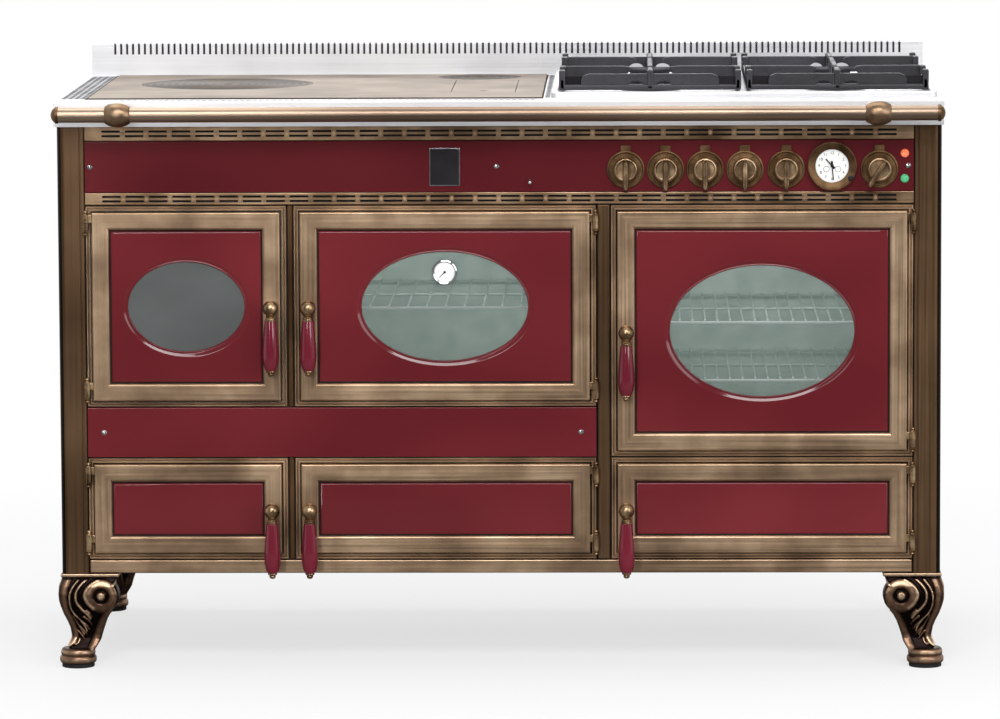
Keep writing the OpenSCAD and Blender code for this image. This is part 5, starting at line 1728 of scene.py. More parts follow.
@dataclass
class VentTrims:
    """The two bronze trims with their double rows of slots."""

    slot: Flat = (29.5, 3.5)
    pitch: float = 37.2
    row_offset: float = 3.6
    sheet: float = 2.0

    def trim(self, shape: Shape, z: Span) -> None:
        """Adds one folded trim.

        Args:
            shape: The piece that it is added to.
            z: Its height range.
        """
        x = (PLAN.left[0] + 1.0, PLAN.right[1] - 1.0)
        middle = (z[0] + z[1]) / 2
        count = int((x[1] - x[0] + 2 - 40) / self.pitch)
        starts = [-(count - 1) * self.pitch / 2 + i * self.pitch for i in range(count)]
        xs = [x[0], x[1]] + [s + d * self.slot[0] / 2 for s in starts for d in (-1, 1)]
        zs = [z[0] + 1.2, z[1] - 1.2]
        zs += [middle + r * self.row_offset + d * self.slot[1] / 2 for r in (-1, 1) for d in (-1, 1)]

        def solid(px: float, pz: float) -> bool:
            """Whether the face is solid at a point."""
            row = any(abs(pz - middle - r * self.row_offset) < self.slot[1] / 2 for r in (-1, 1))
            return not (row and any(abs(px - s) < self.slot[0] / 2 for s in starts))

        shape.sheet(xs, zs, (PLAN.skin, PLAN.skin + self.sheet), solid, Look.TRIM, Axis.Y)
        for edge, out in ((z[0], 1), (z[1], -1)):
            inner = edge + out * self.sheet
            lip = [(PLAN.skin, edge + out * 1.2), (PLAN.skin + 0.4, edge + out * 0.4),
                   (PLAN.skin + 1.2, edge),
                   (PLAN.bars, edge), (PLAN.bars, inner), (PLAN.skin + 2.0, inner),
                   (PLAN.skin + 2.0, edge + out * 1.2)]
            shape.prism(lip, Axis.X, x, Look.TRIM)
        bridge = [(-3.9, 0.0), (0.0, -4.2), (3.9, 0.0), (0.0, 4.2)]
        master = loose(lambda s: s.prism(bridge, Axis.Z, (0.0, 1.0), Look.RAIL_X, 0.4, 1), "bridge")
        middle_x = (starts[0] + starts[-1]) / 2
        master.data.transform(Matrix.Rotation(math.pi / 2, 4, "X"))
        row = Repeat("bridges").grid(master, Look.RAIL_X, (count - 1, 1), (self.pitch, 1.0),
                                     (middle_x, PLAN.skin + 0.1, middle))
        shape.add(row, Look.RAIL_X)
        # Painted shade: a dark sheet behind the slots.
        inner = (PLAN.skin + 4.0, PLAN.skin + 5.0)
        shape.box((x[0] + 4, x[1] - 4), inner, (z[0] + self.sheet + 0.1, z[1] - self.sheet - 0.1),
                  Look.DARK)

    def build(self) -> None:
        """Builds both trims."""
        shape = Shape("vent_trims_look")
        self.trim(shape, (PLAN.upper[1] + 1.0, PLAN.panel[0]))
        self.trim(shape, (PLAN.panel[1], PLAN.worktop[0] - 1.0))
        shape.done("range", ["vent_trims"])


@dataclass
class Panels:
    """The enamelled control panel and middle strip; their screws are kept from the CAD."""

    sheet: float = 2.0
    corner: float = 1.6
    plate: Tuple[Span, Span] = ((-109.5, -61.0), (772.3, 832.2))

    def folded(self, node: str, x: Span, z: Span, finish: Finish,
               extra: Optional[Callable[[Shape], None]] = None) -> None:
        """Builds a panel whose top and bottom fold back.

        Args:
            node: The node that it stands for.
            x: Range along X.
            z: Range along Z.
            finish: Its finish.
            extra: Adds what is fixed on the panel.
        """
        shape = Shape(node + "_look")
        y = PLAN.skin
        r = self.corner
        turns = [math.pi / 2 * k / 4 for k in range(5)]
        outer = [(PLAN.bars, z[0])] + [(y + r - r * math.sin(a), z[0] + r - r * math.cos(a)) for a in turns]
        outer += [(y + r - r * math.cos(a), z[1] - r + r * math.sin(a)) for a in turns]
        outer += [(PLAN.bars, z[1]), (PLAN.bars, z[1] - self.sheet), (y + self.sheet, z[1] - self.sheet),
                  (y + self.sheet, z[0] + self.sheet), (PLAN.bars, z[0] + self.sheet)]
        shape.prism(outer, Axis.X, x, finish)
        if extra is not None:
            extra(shape)
        shape.done("range", [node])

    def badge(self, shape: Shape) -> None:
        """Adds the bare black plate with its thin light border.

        Args:
            shape: The piece that it is added to.
        """
        x, z = self.plate
        shape.box(x, (PLAN.skin - 1.2, PLAN.skin), z, Look.CHROME, 0.4)
        inner_x, inner_z = (x[0] + 1.6, x[1] - 1.6), (z[0] + 1.6, z[1] - 1.6)
        shape.box(inner_x, (PLAN.skin - 1.6, PLAN.skin - 1.0), inner_z, Look.DARK, 0.3)

    def build(self) -> None:
        """Builds both panels."""
        x = (PLAN.left[0] + 1.0, PLAN.right[1] - 1.0)
        # The control panel takes the darker enamel, which is painted shade.
        self.folded("control_panel", x, (PLAN.panel[0] + 0.5, PLAN.panel[1] - 0.5), Look.FASCIA, self.badge)
        strip = (PLAN.left[0] + 1.0, PLAN.middle[1] - 1.0)
        self.folded("middle_panel", strip, (PLAN.lower[1] + 0.5, PLAN.upper[0] - 0.5), Look.ENAMEL)


CONTROL_Z = 797.475
BEZELS = (201.0, 263.7, 326.4, 389.1, 454.3, 601.3)


@dataclass
class Knobs:
    """The bezels on the panel and the six knobs, each knob on its own body."""

    radius: float = 30.0
    disc: float = 19.5
    bar_half: float = 4.75

    def bezel(self, shape: Shape, x: float) -> None:
        """Adds one bezel with its rim, top tab and faint marks.

        Args:
            shape: The piece that it is added to.
            x: Its middle.
        """
        r = self.radius
        top = CONTROL_Z + r
        tab = [(x - 8, top - 4), (x + 8, top - 4), (x + 8, top + 6.5), (x + 6.5, top + 8),
               (x - 6.5, top + 8),
               (x - 8, top + 6.5)]
        shape.prism(tab, Axis.Y, (PLAN.skin - 2.4, PLAN.skin), Look.BEZEL, 0.7)
        profile = [(0.0, 0.0), (r - 0.4, 0.0), (r, 0.8), (r - 0.2, 2.0), (r - 1.1, 2.8), (r - 2.2, 3.0),
                   (r - 3.2, 2.6),
                   (r - 3.9, 1.9), (r - 4.4, 1.7), (r - 8.6, 1.7), (r - 9.2, 2.3), (0.0, 2.3)]
        shape.boss(profile, (x, PLAN.skin, CONTROL_Z), Look.BEZEL, 56)
        ring = circle((x, PLAN.skin - 1.6, CONTROL_Z), r - 6.6, Axis.Y, 60)
        mark = loose(lambda s: s.box((-0.5, 0.5), (-0.5, 0.5), (-1.2, 1.2), Look.STILE, 0.2, 1), "mark")
        shape.add(Repeat("marks").path(mark, Look.STILE, ring, 12.2), Look.STILE)

    def bezels(self) -> None:
        """Builds all bezels as one piece."""
        shape = Shape("knob_bezels_look")
        for x in BEZELS:
            self.bezel(shape, x)
        shape.done("range", ["knob_bezels"])

    def knob(self, name: str, x: float, turn: float) -> None:
        """Builds one knob with its grip bar and shaft.

        Args:
            name: Name of its node and body.
            x: Its middle.
            turn: Its turn clockwise, in degrees.
        """
        shape = Shape(name + "_look")
        y = PLAN.skin - 3.3
        r = self.disc
        profile = [(0.0, 0.0), (r - 0.6, 0.0), (r, 0.8), (r, 8.6), (r - 0.5, 10.2), (r - 1.8, 11.6),
                   (r - 3.6, 12.0),
                   (r - 4.8, 11.4), (r - 5.4, 10.8), (0.0, 10.6)]
        shape.boss(profile, (x, y, CONTROL_Z), Look.KNOB, 48)
        shape.rod(3.5, (-32.0, 1.0), (x, y, CONTROL_Z), Axis.Y, Look.KNOB, 16, -1)
        half = self.bar_half
        outline = [(-half, 8.0), (-half, -24.0), (-half + 0.5, -28.0), (-half + 1.8, -31.4), (0.0, -33.0),
                   (half - 1.8, -31.4),
                   (half - 0.5, -28.0), (half, -24.0), (half, 8.0), (half - 0.8, 12.0), (half - 2.6, 15.6),
                   (0.0, 17.0),
                   (2.6 - half, 15.6), (0.8 - half, 12.0)]
        angle = math.radians(turn)
        rings = []
        levels = ((1.0, 1.0, 1.0), (17.0, 0.97, 0.99), (22.5, 0.88, 0.97), (25.0, 0.72, 0.94),
                  (26.0, 0.45, 0.9))
        for ahead, narrow, shorter in levels:
            ring = []
            for px, pz in outline:
                fx, fz = px * narrow, (pz + 8.0) * shorter - 8.0
                ring.append((x + fx * math.cos(angle) + fz * math.sin(angle), y - ahead,
                             CONTROL_Z - fx * math.sin(angle) + fz * math.cos(angle)))
            rings.append(ring)
        shape.loft(rings, Look.KNOB)
        shape.done(name, [name], angle=40.0)

    def build(self) -> None:
        """Builds the bezels and the knobs."""
        self.bezels()
        for i in range(4):
            self.knob(f"gas_knob_{i + 1}", BEZELS[i], 0.0)
        self.knob("selector_knob", BEZELS[4], 0.0)
        self.knob("thermostat_knob", BEZELS[5], 33.0)


@dataclass
class Clock:
    """The clock's dished ring with its dial, and the set knob."""

    x: float = 526.8
    z: float = 802.475
    radius: float = 38.5
    dial: float = 26.5
    hours: float = 20.6
    minutes: float = 24.9

    def numeral(self, text: str, hour: int) -> bpy.types.Object:
        """Makes a numeral as a mesh at its place on the dial.

        Args:
            text: The numeral.
            hour: Its hour.

        Returns:
            The numeral's mesh object in metres.
        """
        curve = bpy.data.curves.new("numeral", "FONT")
        curve.body = text
        curve.size = 6.6 * MM
        curve.align_x = "CENTER"
        curve.align_y = "CENTER"
        curve.extrude = 0.15 * MM
        source = placed("numeral", curve)
        mesh = final_mesh(source)
        bpy.data.objects.remove(source)
        angle = math.radians(90 - 30 * hour)
        out = self.hours
        place = Vector((self.x + out * math.cos(angle), PLAN.skin - 2.35,
                        self.z + out * math.sin(angle))) * MM
        mesh.transform(Matrix.Translation(place) @ Matrix.Rotation(math.pi / 2, 4, "X"))
        return placed("numeral", mesh)

    def case(self) -> None:
        """Builds the ring, the dial and its markings."""
        shape = Shape("clock_case_look")
        r = self.radius
        profile = [(0.0, -8.0), (r - 4, -8.0), (r - 4, 0.0), (r - 0.4, 0.0), (r, 1.2), (r, 9.6),
                   (r - 0.4, 10.5), (r - 1.2, 10.8),
                   (r - 2.0, 10.4), (r - 2.8, 9.4), (r - 7.0, 7.2), (self.dial + 0.8, 5.2),
                   (self.dial + 0.2, 4.6),
                   (self.dial, 3.4), (self.dial, 1.8), (0.0, 1.8)]
        shape.boss(profile, (self.x, PLAN.skin, self.z), Look.BEZEL, 72)
        shape.rod(self.dial - 0.2, (1.9, 2.2), (self.x, PLAN.skin, self.z), Axis.Y, Look.DIAL, 64, -1)
        for hour in range(1, 13):
            shape.add(self.numeral(str(hour), hour), Look.BLACK)
        ring = circle((self.x, PLAN.skin - 2.25, self.z), self.minutes, Axis.Y, 60)
        tick = loose(lambda s: s.box((-0.25, 0.25), (-0.8, 0.8), (-0.15, 0.15), Look.BLACK, 0.05, 1),
                     "tick")
        shape.add(Repeat("ticks").path(tick, Look.BLACK, ring, 2.608), Look.BLACK)
        for dx, dz in ((-9.0, -5.0), (9.0, -5.0)):
            rim = [(0.0, 2.2), (0.6, 2.2), (0.6, 2.4), (0.0, 2.4)]
            shape.oval_ring((self.x + dx, PLAN.skin, self.z + dz), (8.4, 8.4), rim, Look.BLACK, 32)
        shape.done("range", ["clock_case"])

    def set_knob(self) -> None:
        """Builds the small black set knob with its stem."""
        shape = Shape("clock_set_knob_look")
        spot = (self.x + 28.62, PLAN.skin - 11.0, self.z - 18.37)
        profile = [(0.0, -10.0), (2.0, -10.0), (2.0, 0.3), (4.1, 0.3), (4.5, 0.8), (4.5, 4.8), (4.0, 5.7),
                   (3.0, 6.0), (0.0, 6.0)]
        shape.boss(profile, spot, Look.BLACK, 28)
        shape.done("clock_set_knob", ["clock_set_knob"])

    def build(self) -> None:
        """Builds the clock."""
        self.case()
        self.set_knob()


@dataclass
class SignalLamps:
    """The orange and the green lens beside the thermostat."""

    x: float = 641.3
    heights: Flat = (822.475, 782.475)

    def build(self) -> None:
        """Builds both lenses on their stems."""
        shape = Shape("indicator_lamps_look")
        lens = [(0.0, 0.0), (7.0, 0.0), (7.0, 1.6), (6.4, 3.4), (5.2, 5.0), (3.4, 6.1), (1.6, 6.5),
                (0.0, 6.5)]
        for z, finish in zip(self.heights, (Look.ORANGE, Look.GREEN)):
            shape.rod(4.8, (-9.0, 0.0), (self.x, PLAN.skin, z), Axis.Y, Look.BLACK, 16, -1)
            shape.boss(lens, (self.x, PLAN.skin, z), finish, 12)
        shape.done("range", ["indicator_lamps"], angle=15.0)


@dataclass
class TowelRail:
    """The rail with its domed ends on two ball brackets."""

    y: float = -357.75
    z: float = 890.5
    end: float = 702.0
    bracket: float = 597.0

    def build(self) -> None:
        """Builds the rail."""
        shape = Shape("handrail_look")
        e = self.end
        cap = [(0.0, e), (3.0, e - 0.4), (6.0, e - 1.4), (8.6, e - 3.0), (10.6, e - 5.0), (12.0, e - 6.8),
               (13.3, e - 7.2),
               (13.5, e - 8.4), (13.5, e - 10.6), (13.2, e - 11.6), (12.2, e - 12.0), (0.0, e - 12.0)]
        shape.rod(12.0, (12.0 - e, e - 12.0), (0.0, self.y, self.z), Axis.X, Look.TUBE, 40)
        shape.lathe(list(reversed(cap)), (0.0, self.y, self.z), Axis.X, Look.BEZEL, 40)
        shape.lathe([(r, -along) for r, along in cap], (0.0, self.y, self.z), Axis.X, Look.BEZEL, 40)
        for side in (-1, 1):
            x = side * self.bracket
            ball = [(0.0, -20.0), (12.6, -20.0), (13.6, -19.4), (14.6, -17.8), (16.9, -13.4), (18.5, -8.6),
                    (19.2, -4.2), (19.38, 0.0)]
            ball += [(r, -along) for r, along in reversed(ball[:-1])]
            shape.lathe(ball, (x, self.y, self.z), Axis.X, Look.BALL, 36)
            arm = [(0.0, 0.0), (8.0, 0.0), (8.0, 30.0), (9.0, 36.0), (12.5, 41.0), (13.5, 43.0),
                   (13.5, 45.0), (0.0, 45.0)]
            shape.lathe(arm, (x, self.y, self.z), Axis.Y, Look.TURNED, 28)
        shape.done("range", ["handrail"])


# ---- Top ------------------------------------------------------------------------------------------


@dataclass
class Worktop:
    """The folded stainless worktop with its perforated strips."""

    hotplate: Tuple[Span, Span] = ((-652.8, 68.8), (-263.55, 312.05))
    hob: Tuple[Span, Span] = ((103.0, 675.0), (-232.75, 287.25))
    left: Tuple[Span, Span] = ((-697.0, -657.0), (-260.0, 310.0))
    front: Tuple[Span, Span] = ((-600.0, 60.0), (-299.0, -283.0))
    middle: Tuple[Span, Span] = ((72.0, 82.0), (-250.0, 310.0))
    half: float = 702.0
    hole: float = 6.2
    pitch: float = 10.0

    def cells(self, shape: Shape, strip: Tuple[Span, Span], length: float, pitch: float) -> None:
        """Fills a strip with perforated cells.

        Args:
            shape: The piece that it is added to.
            strip: Ranges of the strip along X and Y.
            length: Length of a hole along Y.
            pitch: Length of a cell along Y.
        """
        (x0, x1), (y0, y1) = strip
        count = (round((x1 - x0) / self.pitch), round((y1 - y0) / pitch))

        def cell(part: Shape) -> None:
            """One square of sheet with its hole."""
            hx, hy = self.hole / 2, length / 2
            px, py = self.pitch / 2, pitch / 2
            part.sheet([-px, -hx, hx, px], [-py, -hy, hy, py], (-0.25, 0.0),
                       lambda x, y: not (abs(x) < hx and abs(y) < hy), Look.PUNCHED)

        place = ((x0 + x1) / 2, (y0 + y1) / 2, PLAN.worktop[1])
        field = Repeat("perforation").grid(loose(cell, "cell"), Look.PUNCHED, count, (self.pitch, pitch),
                                           place)
        shape.add(field, Look.PUNCHED)

    def build(self) -> None:
        """Builds the worktop."""
        shape = Shape("worktop_look")
        top = PLAN.worktop[1]
        half = self.half
        strips = (self.left, self.front, self.middle)
        gaps = (self.hotplate, self.hob, *strips)
        xs = [-half + 1.5, half - 1.5] + [x for gap in gaps for x in gap[0]]
        ys = [PLAN.worktop_front + 1.5, PLAN.back - 1.5] + [y for gap in gaps for y in gap[1]]

        def solid(x: float, y: float) -> bool:
            """Whether the sheet is solid at a point."""
            return not any(gap[0][0] < x < gap[0][1] and gap[1][0] < y < gap[1][1] for gap in gaps)

        shape.sheet(xs, ys, (top - 2.0, top), solid, Look.STEEL)
        for strip, length, pitch in zip(strips, (18.0, 14.0, 12.0), (30.0, 16.0, 20.0)):
            self.cells(shape, strip, length, pitch)
        self.seal(shape)
        # Painted shade: dark sheets under the perforated strips, seen through the holes.
        for strip in strips:
            shape.box(*strip, (top - 1.0, top - 0.4), Look.DARK)
        self.skirt(shape)
        shape.done("range", ["worktop"])

    def seal(self, shape: Shape) -> None:
        """Adds a dark strip in the gap round the hotplate, as painted shade."""
        (x0, x1), (y0, y1) = self.hotplate
        low, high = PLAN.worktop[1] - 1.0, PLAN.plate - 0.3
        shape.box((x0 - 4.0, x1 + 2.0), (y0 - 2.5, y0 + 0.5), (low, high), Look.CORD, 0.4)
        shape.box((x0 - 4.0, x0 + 0.5), (y0, y1), (low, high - 1.0), Look.CORD, 0.4)
        shape.box((x1 - 0.5, x1 + 2.0), (y0, y1), (low, high - 1.0), Look.CORD, 0.4)

    def skirt(self, shape: Shape) -> None:
        """Adds the folded skirts on all four sides.

        Args:
            shape: The piece that they are added to.
        """
        top = PLAN.worktop[1]
        rings = []
        fold = [(0.0, PLAN.worktop[0]), (0.0, top - 2.4), (0.25, top - 1.1), (0.9, top - 0.3), (1.5, top),
                (2.0, top - 2.0),
                (2.0, PLAN.worktop[0])]
        for step, z in fold:
            rings.append(oblong((-self.half, self.half), (PLAN.worktop_front, PLAN.back), z, Axis.Z, step))
        shape.loft(rings, Look.STEEL, capped=False)


@dataclass
class Backguard:
    """The upstand behind the worktop with its comb of slots."""

    half: float = 699.0
    depth: float = 16.0
    drop: float = 19.0
    pitch: float = 10.0

    def build(self) -> None:
        """Builds the upstand; its teeth are copies of one bent tooth."""
        shape = Shape("backguard_look")
        z0 = PLAN.worktop[1]
        z1 = PLAN.grid_top + 14.0
        front = PLAN.back - self.depth
        low = z1 - self.drop
        count = int((2 * self.half - 76) / self.pitch) + 1
        reach = (count - 1) * self.pitch / 2
        shape.box((-self.half, self.half), (front, front + 2.0), (z0, low), Look.STEEL)
        shape.box((-self.half, self.half), (PLAN.back - 3.0, PLAN.back), (z1 - 2.0, z1), Look.STEEL)
        tooth = [(front, low), (front, z1 - 1.6), (front + 0.5, z1 - 0.5), (front + 1.6, z1),
                 (PLAN.back - 3.0, z1),
                 (PLAN.back - 3.0, z1 - 2.0), (front + 2.0, z1 - 2.0), (front + 2.0, low)]
        width = self.pitch - 3.6
        shape.box((-self.half + 2, self.half - 2), (PLAN.back - 2.0, PLAN.back), (z0, z1 - 2.0), Look.STEEL)
        inner = (front + 2.1, PLAN.back - 2.1)
        shape.box((-self.half + 3, self.half - 3), (inner[1] - 1.0, inner[1]), (z0 + 2.0, z1 - 2.2),
                  Look.SHADE)
        for side in (-1, 1):
            ends = sorted((side * self.half, side * (reach + 1.8)))
            shape.prism(tooth, Axis.X, (ends[0], ends[1]), Look.STEEL)
            wall = sorted((side * self.half, side * (self.half - 2.0)))
            shape.box((wall[0], wall[1]), (front + 2.0, PLAN.back), (z0, z1 - 2.0), Look.STEEL)
        master = loose(lambda s: s.prism(tooth, Axis.X, (-width / 2, width / 2), Look.STEEL), "tooth")
        comb = Repeat("comb").grid(master, Look.STEEL, (count - 1, 1), (self.pitch, 1.0), (0.0, 0.0, 0.0))
        shape.add(comb, Look.STEEL)
        shape.done("range", ["backguard"])


@dataclass
class HotplateLids:
    """The two round lids, turned with fine rings, and the soot hatch."""

    seat: float = 904.5
    groove: float = 4.0
    plate: Tuple[Span, Span] = ((-79.5, 23.5), (-139.75, 148.25))
    lifter: Flat = (-28.0, -109.75)
    sides: int = 24

    def lid(self, name: str, centre: Flat, radius: float) -> None:
        """Builds one round lid.

        Args:
            name: Name of its node and body.
            centre: Its middle.
            radius: Its radius.
        """
        finish = TurnedIron(name + "_rings", (centre[0], centre[1], 0.0), (50, 40, 33), (92, 80, 68), 12.0)
        shape = Shape(name + "_look")
        top = PLAN.plate
        profile = [(0.0, self.seat - top), (radius, self.seat - top), (radius, -0.8), (radius - 0.8, 0.0)]
        ring = radius - 4.0
        while ring > 16.0:
            profile += [(ring, -0.05), (ring - self.groove / 2, -0.5)]
            ring -= self.groove
        profile += [(12.0, 0.0), (8.0, 0.0), (7.0, -0.8), (7.0, -3.0), (0.0, -3.0)]
        shape.lathe(profile, (centre[0], centre[1], top), Axis.Z, finish, 96)
        shape.done(name, [name], angle=20.0)

    def hatch(self) -> None:
        """Builds the soot hatch with its lifter recess."""
        shape = Shape("soot_hatch_look")
        rings = []
        for z, step in ((self.seat, 0.0), (PLAN.plate - 0.8, 0.0), (PLAN.plate, 0.8)):
            rings.append(self.edge(z, step))
        for radius, z in ((8.0, PLAN.plate), (7.0, PLAN.plate - 0.8), (7.0, PLAN.plate - 3.0)):
            rings.append(circle((*self.lifter, z), radius, Axis.Z, self.sides))
        shape.loft(rings, Look.PLATE)
        shape.done("soot_hatch", ["soot_hatch"])

    def edge(self, z: float, step: float) -> List[Point]:
        """The hatch's edge as a ring of points seen from its lifter recess.

        Args:
            z: Height.
            step: Distance inwards.

        Returns:
            The ring, with the four corners on it.
        """
        cx, cy = self.lifter
        (x0, x1), (y0, y1) = self.plate
        x0, x1, y0, y1 = x0 + step, x1 - step, y0 + step, y1 - step
        corners = [(x1, y1), (x0, y1), (x0, y0), (x1, y0)]
        turns = [math.atan2(c[1] - cy, c[0] - cx) % (2 * math.pi) for c in corners]
        ring = []
        for angle in around(self.sides):
            away = [abs((turn - angle + math.pi) % (2 * math.pi) - math.pi) for turn in turns]
            if min(away) < math.pi / self.sides:
                ring.append((*corners[away.index(min(away))], z))
                continue
            dx, dy = math.cos(angle), math.sin(angle)
            reach_x = ((x1 if dx > 0 else x0) - cx) / dx if abs(dx) > 1e-6 else math.inf
            reach_y = ((y1 if dy > 0 else y0) - cy) / dy if abs(dy) > 1e-6 else math.inf
            reach = min(reach_x, reach_y)
            ring.append((cx + reach * dx, cy + reach * dy, z))
        return ring

    def build(self) -> None:
        """Builds the lids and the hatch."""
        self.lid("hotplate_lid", (-454.0, 78.25), 140.0)
        self.lid("flue_lid", (-43.0, 237.25), 68.0)
        self.hatch()


BURNER_X = (240.0, 538.0)
BURNER_Y = ((-102.75, 48.0), (141.25, 36.0))


@dataclass
class GasHob:
    """The pressed tray, four burners and two pan supports."""

    tray_x: Span = (83.0, 695.0)
    tray_y: Span = (-252.75, 307.25)
    grid_width: float = 290.0
    grid_depth: float = 455.0
    grid_front: float = -210.75
    bar: float = 10.0

    def rounded(self, step: float, z: float, corner: float) -> List[Point]:
        """A ring round the tray with rounded corners.

        Args:
            step: Distance inside the tray's edge.
            z: Height.
            corner: Corner radius.

        Returns:
            The ring.
        """
        x = (self.tray_x[0] + step, self.tray_x[1] - step)
        y = (self.tray_y[0] + step, self.tray_y[1] - step)
        ring: List[Point] = []
        for cx, cy, start in ((x[1] - corner, y[1] - corner, 0), (x[0] + corner, y[1] - corner, 90),
                              (x[0] + corner, y[0] + corner, 180), (x[1] - corner, y[0] + corner, 270)):
            ring += [(p[0], p[1], z) for p in arc((cx, cy), corner, start, start + 90, 6)]
        return ring

    def tray(self) -> None:
        """Builds the tray: a rolled rim, a slope and a flat well."""
        shape = Shape("hob_tray_look")
        z0, z1 = PLAN.worktop[1], PLAN.hob_top
        steps = [(0.0, z0 + 0.1, 10.0), (0.0, z1 - 2.6, 10.0), (0.8, z1 - 0.9, 10.0), (2.4, z1, 10.0),
                 (9.0, z1, 10.0),
                 (11.0, z1 - 0.8, 10.0), (13.0, z0 + 4.4, 10.0), (16.0, z0 + 3.0, 12.0),
                 (24.0, z0 + 3.0, 12.0)]
        rings = [self.rounded(*s) for s in steps]
        shape.loft(rings, Look.STEEL)
        shape.done("range", ["hob_tray"], angle=50.0)

    def burner(self, shape: Shape, x: float, y: float, radius: float) -> None:
        """Adds one burner: body, slotted crown and cap.

        Args:
            shape: The piece that it is added to.
            x: Its middle along X.
            y: Its middle along Y.
            radius: Its radius.
        """
        base = PLAN.worktop[1] + 3.2
        r = radius
        skirt = [(0.0, 0.0), (r, 0.0), (r, 3.6), (r - 0.6, 4.8), (r - 2.0, 5.4), (r - 3.4, 6.0), (0.0, 6.0)]
        shape.lathe(skirt, (x, y, base), Axis.Z, Look.CROWN, 48)
        teeth = []
        for z in (6.0, 12.6):
            ring = []
            for k, angle in enumerate(around(64)):
                size = r - 3.2 if k % 4 < 2 else r - 5.2
                ring.append((x + size * math.cos(angle), y + size * math.sin(angle), base + z))
            teeth.append(ring)
        shape.loft(teeth, Look.CROWN)
        cap = [(0.0, 12.8), (r - 2.0, 12.8), (r - 1.0, 13.6), (r - 1.0, 15.4), (r - 1.8, 17.0),
               (r - 4.0, 18.2), (r - 9.0, 18.8),
               (r * 0.4, 19.0), (0.0, 19.0)]
        shape.lathe(cap, (x, y, base), Axis.Z, Look.CAP, 48)

    def burners(self) -> None:
        """Builds the four burners."""
        shape = Shape("burners_look")
        for x in BURNER_X:
            for y, radius in BURNER_Y:
                self.burner(shape, x, y, radius)
        shape.done("range", ["burners"])

    def web(self, shape: Shape, x: float, y: float, side: int) -> None:
        """Adds a tapered web plate on the front or back bar of a support.

        Args:
            shape: The piece that it is added to.
            x: Middle of the support.
            y: Y of the bar's middle.
            side: -1 or 1, the half that it stands in.
        """
        z0, z1 = PLAN.hob_top + 6.0, PLAN.grid_top - 6.0
        turns = [math.pi * k / 8 for k in range(9)]
        arch = [(22 + 13 * math.cos(a), z0 + 9.0 * math.sin(a)) for a in turns]
        outline = [(110, z0)] + arch + [(4, z0), (4, z1), (98, z1), (106, z1 - 3.0), (110, z1 - 9.0)]
        shape.prism([(x + side * u, z) for u, z in outline], Axis.Y, (y - 3.0, y + 3.0), Look.GRID, 1.0)
        # Painted shade: a dark plate in the opening at the end of the web.
        across = sorted((x + side * 108.0, x + side * 137.0))
        shape.box((across[0], across[1]), (y + 0.5, y + 2.5), (z0, z1 - 4.0), Look.DARK, 0.4, 1)

    def finger(self, shape: Shape, start: Point, end: Point, width: float = 8.0) -> None:
        """Adds a finger whose nose slopes down towards the burner.

        Args:
            shape: The piece that it is added to.
            start: Root of the finger, at its top.
            end: Nose of the finger, at its top.
            width: Its width.
        """
        along = Vector((end[0] - start[0], end[1] - start[1], 0.0))
        length = along.length
        along.normalize()
        across = Vector((-along.y, along.x, 0.0)) * (width / 2)
        side = [(0.0, -24.0), (0.0, 0.0), (length - 12.0, 0.0), (length - 3.0, -1.8), (length, -5.0),
                (length - 6.0, -12.0),
                (length - 20.0, -20.0)]
        rings = []
        for edge, shrink in ((-1.0, 1.4), (-0.72, 0.0), (0.72, 0.0), (1.0, 1.4)):
            ring = []
            for run, drop in side:
                spot = Vector(start) + along * run + across * edge
                ring.append((spot.x, spot.y,
                             start[2] + min(drop, -shrink) if drop > -2 else start[2] + drop))
            rings.append(ring)
        shape.loft(rings, Look.GRID)

    def support(self, name: str, x: float) -> None:
        """Builds one pan support.

        Args:
            name: Name of its node and body.
            x: Its middle.
        """
        shape = Shape(name + "_look")
        low = PLAN.hob_top
        top = PLAN.grid_top
        half = self.grid_width / 2
        y0, y1 = self.grid_front, self.grid_front + self.grid_depth
        b = self.bar
        middle = (y0 + y1) / 2
        for y in (y0, y1 - b):
            shape.box((x - half, x + half), (y, y + b), (low, low + 9), Look.GRID, 3.0, 3)
        for edge in (x - half, x + half - b):
            shape.box((edge, edge + b), (y0, y1), (low, low + 19), Look.GRID, 3.0, 3)
            for y in (y0, y1 - 16):
                shape.box((edge, edge + b), (y, y + 16), (low + 0.2, top), Look.GRID, 2.2, 2)
        shape.box((x - half, x + half), (middle - 5, middle + 5), (low, low + 9), Look.GRID, 3.0, 3)
        for y in (y0 + b / 2, y1 - b / 2):
            for side in (-1, 1):
                self.web(shape, x, y, side)
        for y in (y0, y1 - 16):
            shape.box((x - b / 2, x + b / 2), (y, y + 16), (low + 0.2, top), Look.GRID, 2.2, 2)
        shape.box((x - b / 2, x + b / 2), (middle - 7, middle + 7), (low, top), Look.GRID, 2.2, 2)
        for y, radius in BURNER_Y:
            reach = radius * 0.62
            for side in (-1, 1):
                post = (x + side * (half - b / 2), y)
                shape.box((post[0] - b / 2, post[0] + b / 2), (y - 12, y + 12), (low + 0.2, top), Look.GRID,
                          2.2, 2)
                self.finger(shape, (post[0], y, top), (x + side * reach, y, top))
            near = y0 + b / 2 if y < middle else middle
            far = middle if y < middle else y1 - b / 2
            self.finger(shape, (x, near, top), (x, y - reach, top))
            self.finger(shape, (x, far, top), (x, y + reach, top))
        shape.done(name, [name])

    def build(self) -> None:
        """Builds the hob."""
        self.tray()
        self.burners()
        self.support("pan_support_left", BURNER_X[0])
        self.support("pan_support_right", BURNER_X[1])


# ---- Feet -----------------------------------------------------------------------------------------


